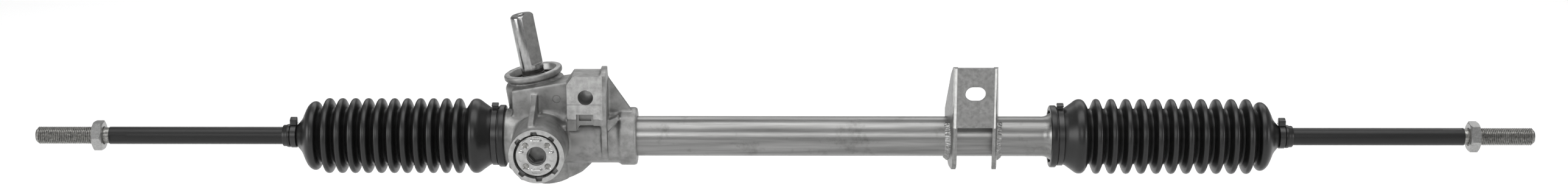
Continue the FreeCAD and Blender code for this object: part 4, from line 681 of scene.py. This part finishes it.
class RACK_OT_rods(bpy.types.Operator):
    """Builds the tie rods with their threads, the jam nuts, and finishes the rack and ball joints"""
    bl_idname = "steering_rack.rods"
    bl_label = "Tie rods and rack"

    def execute(self, context):
        skin = finishes_of(context)
        sizes = context.scene.rod_sizes
        neck_end, nut_from = 14, 215.5
        # from the ball, the paint ends at coat and the nut starts at nut_from + back; turn is the nut's angle
        for side, way, coat, back, turn in (("left", -1, 213.2, 2.4, 56.6), ("right", 1, 215.5, 3.8, 5.8)):
            ball = BALLS[side]
            rod = "tie_rod_" + side
            make_piece(
                rod_bar(ball, way, coat, sizes.radius * 1000), rod + "_bar", rod, [skin["rod"], skin["thread"]],
                [rod],
                pick=lambda spot, normal: int(abs(spot.x - ball) > coat - 0.05 or abs(spot.x - ball) < neck_end))
            make_piece(
                thread(ball, way, sizes), rod + "_thread", rod, skin["thread"])
            make_piece(
                nut(ball + way * (nut_from + back), way, sizes.nut * 1000, turn), "jam_nut_%s_finished" % side,
                rod, skin["nut"], ["jam_nut_" + side], crease=25)
            make_piece(
                copy_of("ball_socket_" + side), "ball_socket_%s_finished" % side, "rack", skin["ground"],
                ["ball_socket_" + side])
            make_piece(
                copy_of("ball_seat_" + side), "ball_seat_%s_finished" % side, "ball_seat_" + side,
                skin["plastic"], ["ball_seat_" + side])
            make_piece(
                copy_of("lock_plate_" + side), "lock_plate_%s_finished" % side, "rack", skin["flat"],
                ["lock_plate_" + side])
        make_piece(copy_of("rack_bar"), "rack_bar_ground", "rack", skin["ground"], ["rack_bar"])
        make_piece(copy_of("rack_bush"), "rack_bush_finished", "rack_housing", skin["plastic"],
                   ["rack_bush"])
        return {"FINISHED"}


def rod_bar(ball, way, coat, radius):
    """A tie rod: ball, neck, bar with two wrench flats, and the core of its thread."""
    arc = [(-12 * math.cos(math.radians(t)), 12 * math.sin(math.radians(t))) for t in range(0, 149, 8)]
    line = arc + [(10.6, 6.25), (18, 6.25), (22, radius), (coat - 0.1, radius), (coat, radius - 0.5),
                  (218.4, radius - 0.5), (218.8, radius - 0.85), (270.6, radius - 0.85), (272, radius - 2), (272, 0)]
    bm = turned([(ball + way * a, r) for a, r in line], segments=96, closed=False)
    flats = []
    for edge in (-1, 1):
        low, high = sorted((edge * 6.45, edge * 12))
        first, last = sorted((ball + way * 197.9, ball + way * (coat - 1.2)))
        corners = [(first, -12), (last, -12), (last, 12), (first, 12)]
        flats.append(prism(corners, low, high, "XZ" if way < 0 else "XY"))
    return joined(bm, flats)


def thread(ball, way, sizes):
    """A helical ridge, one turn per pitch, that runs out at both ends of the thread."""
    radius, pitch = sizes.radius * 1000, sizes.pitch * 1000
    thread_from, thread_long, steps = 218.6, 51.5, 40
    turns = int(thread_long / pitch)
    start = ball + way * thread_from
    bm = bmesh.new()
    ridge = [(0.0, -1.0), (pitch * 0.12, -0.82), (pitch * 0.42, -0.06), (pitch * 0.58, -0.06), (pitch * 0.88, -0.82),
             (pitch, -1.0)]
    rows = []
    for step in range(steps * turns + 1):
        angle = 2 * math.pi * step / steps
        out = Vector((0, -math.sin(angle), math.cos(angle)))
        shift = start + way * pitch * step / steps
        rows.append([bm.verts.new(X_AXIS * (shift + way * a) + out * (radius + r)) for a, r in ridge])
    weave(bm, rows, False)
    bmesh.ops.remove_doubles(bm, verts=bm.verts, dist=0.01)
    for vert in bm.verts:
        along = (vert.co.x - ball) * way
        limit = min(radius, radius - 0.9 + (along - 218.3) * 0.8, radius - (along - 270.2) * 1.1)
        reach = math.hypot(vert.co.y, vert.co.z)
        if reach > limit:
            vert.co.yz = Vector((vert.co.y, vert.co.z)) * (limit / reach)
    close_holes(bm)
    bmesh.ops.recalc_face_normals(bm, faces=bm.faces)
    return bm


def nut(inner, way, wide, degrees):
    """A hexagon nut, turned about its thread, with both faces coned and a bore that clears the thread."""
    low, high = sorted((inner, inner + way * 8))
    reach = wide / math.sqrt(3)
    turn = math.radians(degrees)
    corners = [(reach * math.cos(turn + math.radians(60 * s)), reach * math.sin(turn + math.radians(60 * s)))
               for s in range(6)]
    bm = prism(corners, low, high, "YZ")
    edge = wide / 2 - 0.3
    envelope = turned([(low - 0.5, 0), (low - 0.5, edge - 0.87), (low + 1.55, edge + 2.7), (high - 1.55, edge + 2.7),
                       (high + 0.5, edge - 0.87), (high + 0.5, 0)], segments=120, closed=False)
    bm = joined(bm, [envelope], "INTERSECT")
    bore = turned([(low - 1, 0), (low - 1, 8.1), (low + 0.6, 7.03), (high - 0.6, 7.03), (high + 1, 8.1),
                   (high + 1, 0)], segments=64, closed=False)
    return joined(bm, [bore])


# Boots and clamps

class RACK_OT_boots(bpy.types.Operator):
    """Builds the rubber bellows in three stretches each, and their clamps"""
    bl_idname = "steering_rack.boots"
    bl_label = "Boots and clamps"

    def execute(self, context):
        skin = finishes_of(context)
        sizes = context.scene.boot_sizes
        # a boot runs from its seat on the housing to its neck on the rod, and is cut into three stretches: to the
        # ball, on past it by lean_long, and the rest
        seat_long, neck_long, lean_long = 14, 12, 36
        for side, start, long, way in (("left", -29.9, 179.2, -1), ("right", 406.6, 195.5, 1)):
            ball = BALLS[side]
            node = "boot_" + side
            seat = "ball_seat_" + side
            rod = "tie_rod_" + side
            profile = boot_profile(long, sizes)
            split = [0, abs(ball - start), abs(ball - start) + lean_long, long]
            spans = (("rack_housing", "rack"), ("rack", seat), (seat, rod))
            for number, (one, other) in enumerate(spans):
                low, high = split[number], split[number + 1]
                bm = turned([(start + way * a, r) for a, r in profile], segments=120)
                keep_between(bm, start + way * low, start + way * high, number == 0, number == 2)
                piece = make_piece(bm, "%s_part_%d" % (node, number + 1), None, skin["rubber"],
                                   [node], crease=40)
                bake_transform(piece)
            large = clamp_strap(start + way * 8.2, inner=22.41, outer=23.6, head_low=25.1, head_high=27.4)
            make_piece(large, "clamp_large_" + side, "rack_housing", skin["strap"],
                       ["large_clamp_" + side])
            small = clamp_strap(start + way * (long - 8.7), inner=8.51, outer=9.7, head_low=9.3, head_high=15.2)
            make_piece(small, "clamp_small_" + side, rod, skin["strap"], ["small_clamp_" + side])
        return {"FINISHED"}


def boot_profile(long, sizes):
    """The bellows' section as (distance from the big end, radius), out and back inside."""
    crest, valley = sizes.crest * 1000, sizes.valley * 1000
    step = (long - 37 - 37.7) / (sizes.crests - 1)
    outside = [(12.4, 23.2), (17.8, 27), (21, 29.3), (24.2, crest), (27, 29), (29.4, 25.6)]
    for index in range(sizes.crests):
        middle = 37.7 + index * step
        outside += [(middle - step / 2, valley), (middle - 3.3, 26.4), (middle - 2.1, crest - 0.9),
                    (middle - 1.3, crest - 0.1), (middle + 1.3, crest - 0.1), (middle + 2.1, crest - 0.9),
                    (middle + 3.3, 26.4)]
    last = long - 25.5
    outside += [(long - 31.2, valley - 0.6), (last - 3.2, 26.4), (last - 0.6, 27.7), (last + 3, 26.2),
                (last + 6.4, 21), (last + 9.4, 14.6), (long - 13, 10.6), (long - 11.6, 9)]
    outside = smoothed_path(outside, 3)
    lip = [(0, 24.2), (0.5, 24.9), (1.4, 25), (4.3, 25), (5, 24.6), (5.4, 22.4), (10.9, 22.4), (11.5, 22.9)]
    neck = [(long - 10.9, 8.5), (long - 6.1, 8.5), (long - 5.6, 9.2), (long - 4.6, 9.4), (long - 3.4, 9.2),
            (long - 2.4, 8.7), (long - 0.6, 8.7), (long, 8.3)]
    inside = [(long, 7.05), (long - 11, 7.05)]
    for along, radius in reversed(outside[2:-2]):
        inside.append((along, radius - 1.3))
    inside += [(12.2, 21.05), (0, 21.05)]
    return lip + outside + neck + inside


def keep_between(bm, first, last, open_first, open_last):
    """Cuts a turned shell to a stretch along the rack, and closes the cuts."""
    low, high = sorted((first, last))
    way = 1 if last > first else -1
    for level, normal, skip in (
            (low, -1, open_first if way > 0 else open_last), (high, 1, open_last if way > 0 else open_first)):
        if skip:
            continue
        bmesh.ops.bridge_loops(bm, edges=sliced(bm, (level, 0, 0), (normal, 0, 0), clear_outer=True))
    bmesh.ops.recalc_face_normals(bm, faces=bm.faces)


def clamp_strap(x, inner, outer, head_low, head_high):
    """A band with a folded head on top: two ears, a crimp between them and a tail."""
    bm = turned([(x - 2.2, inner), (x + 2.2, inner), (x + 2.2, outer - 0.2), (x + 2, outer), (x - 2, outer),
                 (x - 2.2, outer - 0.2)], segments=96)
    head = prism([(-3.4, head_low), (3.4, head_low), (3.4, head_high - 1.4), (2.2, head_high), (-0.6, head_high),
                  (-1.6, head_high - 0.9), (-3.4, head_high - 1.1)], x - 2.7, x + 2.7, "YZ")
    round_off(head, 0.5, 2, lambda e: True)
    tail = prism([(3.2, outer - 0.4), (6.5, outer - 1.4), (6.4, outer - 0.4), (3.2, outer + 0.7)],
                 x - 2.2, x + 2.2, "YZ")
    neck = prism([(-2.8, inner + 0.5), (2.8, inner + 0.5), (2.8, head_low + 0.4), (-2.8, head_low + 0.4)],
                 x - 2.2, x + 2.2, "YZ")
    return absorb(bm, (head, neck, tail))


# Stage

class RACK_OT_stage(bpy.types.Operator):
    """Lays the floor, hangs the soft lights and sets the camera at the photograph's angle"""
    bl_idname = "steering_rack.stage"
    bl_label = "Studio"

    def execute(self, context):
        look = context.scene.stage_look
        lowest = CAD_BOX[0].z - look.drop
        bm = bmesh.new()
        bmesh.ops.create_grid(bm, x_segments=1, y_segments=1, size=14)
        bmesh.ops.translate(bm, vec=(0, 0, lowest), verts=bm.verts)
        mesh = bpy.data.meshes.new("floor")
        bm.to_mesh(mesh)
        bm.free()
        floor = bpy.data.objects.new("floor", mesh)
        context.scene.collection.objects.link(floor)
        paper = bpy.data.materials.new("Matt white paper")
        paper.use_nodes = True
        shader = paper.node_tree.nodes["Principled BSDF"]
        shader.inputs["Base Color"].default_value = list(look.floor) + [1]
        shader.inputs["Roughness"].default_value = 0.9
        floor.data.materials.append(paper)
        middle = Vector((0.157, 0, 0))
        # each light's place and size in metres, and its power in watts
        for name, spot, size, power in (
                ("top_softbox", (0.16, -0.25, 1.7), (2.6, 1.2), 30),
                ("front_softbox", (-0.2, -2.2, 1.0), (1.8, 0.7), 17),
                ("left_softbox", (-1.8, -0.8, 0.45), (1.0, 0.8), 16),
                ("right_softbox", (2.1, -0.8, 0.35), (0.8, 0.6), 9),
                ("back_softbox", (0.4, 1.6, 1.3), (2.6, 0.9), 14)):
            lamp = bpy.data.lights.new(name, "AREA")
            lamp.shape = "RECTANGLE"
            lamp.size, lamp.size_y = size
            lamp.energy = power
            light = bpy.data.objects.new(name, lamp)
            light.location = spot
            light.rotation_euler = (middle - Vector(spot)).to_track_quat("-Z", "Y").to_euler()
            context.scene.collection.objects.link(light)
        world = bpy.data.worlds.new("Studio air")
        world.use_nodes = True
        world.node_tree.nodes["Background"].inputs["Color"].default_value = (1, 1, 1, 1)
        world.node_tree.nodes["Background"].inputs["Strength"].default_value = 0.36
        context.scene.world = world
        context.scene.view_settings.view_transform = "Standard"
        self.place_camera(context)
        return {"FINISHED"}

    def place_camera(self, context):
        """The optical centre lies 62 pixels above the rack's axis, 1.86 m away, 15.5 degrees up."""
        elevation, distance, roll = math.radians(15.5), 1860, math.radians(0.06)
        middle, rise, half_view = 193.4, 30.6, math.radians(18.74)
        up = Vector((0, math.sin(elevation), math.cos(elevation)))
        ahead = Vector((0, math.cos(elevation), -math.sin(elevation)))
        spot = Vector((middle, 0, 0)) + up * rise - ahead * distance
        camera = bpy.data.objects.new("camera", bpy.data.cameras.new("camera"))
        camera.data.sensor_width = 36
        camera.data.lens = camera.data.sensor_width / 2 / math.tan(half_view)
        camera.matrix_world = (
            Matrix.Translation(HOME @ spot) @ Matrix.Rotation(math.radians(90) - elevation, 4, "X")
            @ Matrix.Rotation(roll, 4, "Z"))
        context.scene.collection.objects.link(camera)
        context.scene.camera = camera


class RACK_PT_panel(bpy.types.Panel):
    """Lists the steps that dress the steering rack"""
    bl_idname = "RACK_PT_panel"
    bl_label = "Steering Rack"
    bl_space_type = "VIEW_3D"
    bl_region_type = "UI"
    bl_category = "Steering Rack"

    def draw(self, context):
        scene = context.scene
        for group in (scene.casting_sizes, scene.rod_sizes, scene.boot_sizes, scene.stage_look):
            for key in group.bl_rna.properties.keys():
                if key not in ("rna_type", "name"):
                    self.layout.prop(group, key)
        for step in STEPS:
            self.layout.operator(step.bl_idname)


STEPS = (RACK_OT_stage, RACK_OT_casting, RACK_OT_tube, RACK_OT_pinion, RACK_OT_yoke, RACK_OT_rods, RACK_OT_boots)
GROUPS = {
    "casting_sizes": CastingSizes, "rod_sizes": RodSizes, "boot_sizes": BootSizes, "stage_look": StageLook}
SKIN = {}


def finishes_of(context):
    """The finishes, made once and shared by all the steps."""
    if not SKIN:
        SKIN.update(finishes())
    return SKIN


def register():
    for group in GROUPS.values():
        bpy.utils.register_class(group)
    for step in STEPS + (RACK_PT_panel,):
        bpy.utils.register_class(step)
    for name, group in GROUPS.items():
        setattr(bpy.types.Scene, name, PointerProperty(type=group))


def unregister():
    for name in GROUPS:
        delattr(bpy.types.Scene, name)
    for step in STEPS + (RACK_PT_panel,):
        bpy.utils.unregister_class(step)
    for group in GROUPS.values():
        bpy.utils.unregister_class(group)


def main():
    register()
    bpy.ops.steering_rack.stage()
    bpy.ops.steering_rack.casting()
    bpy.ops.steering_rack.tube()
    bpy.ops.steering_rack.pinion()
    bpy.ops.steering_rack.yoke()
    bpy.ops.steering_rack.rods()
    bpy.ops.steering_rack.boots()


if __name__ == "__main__":
    main()
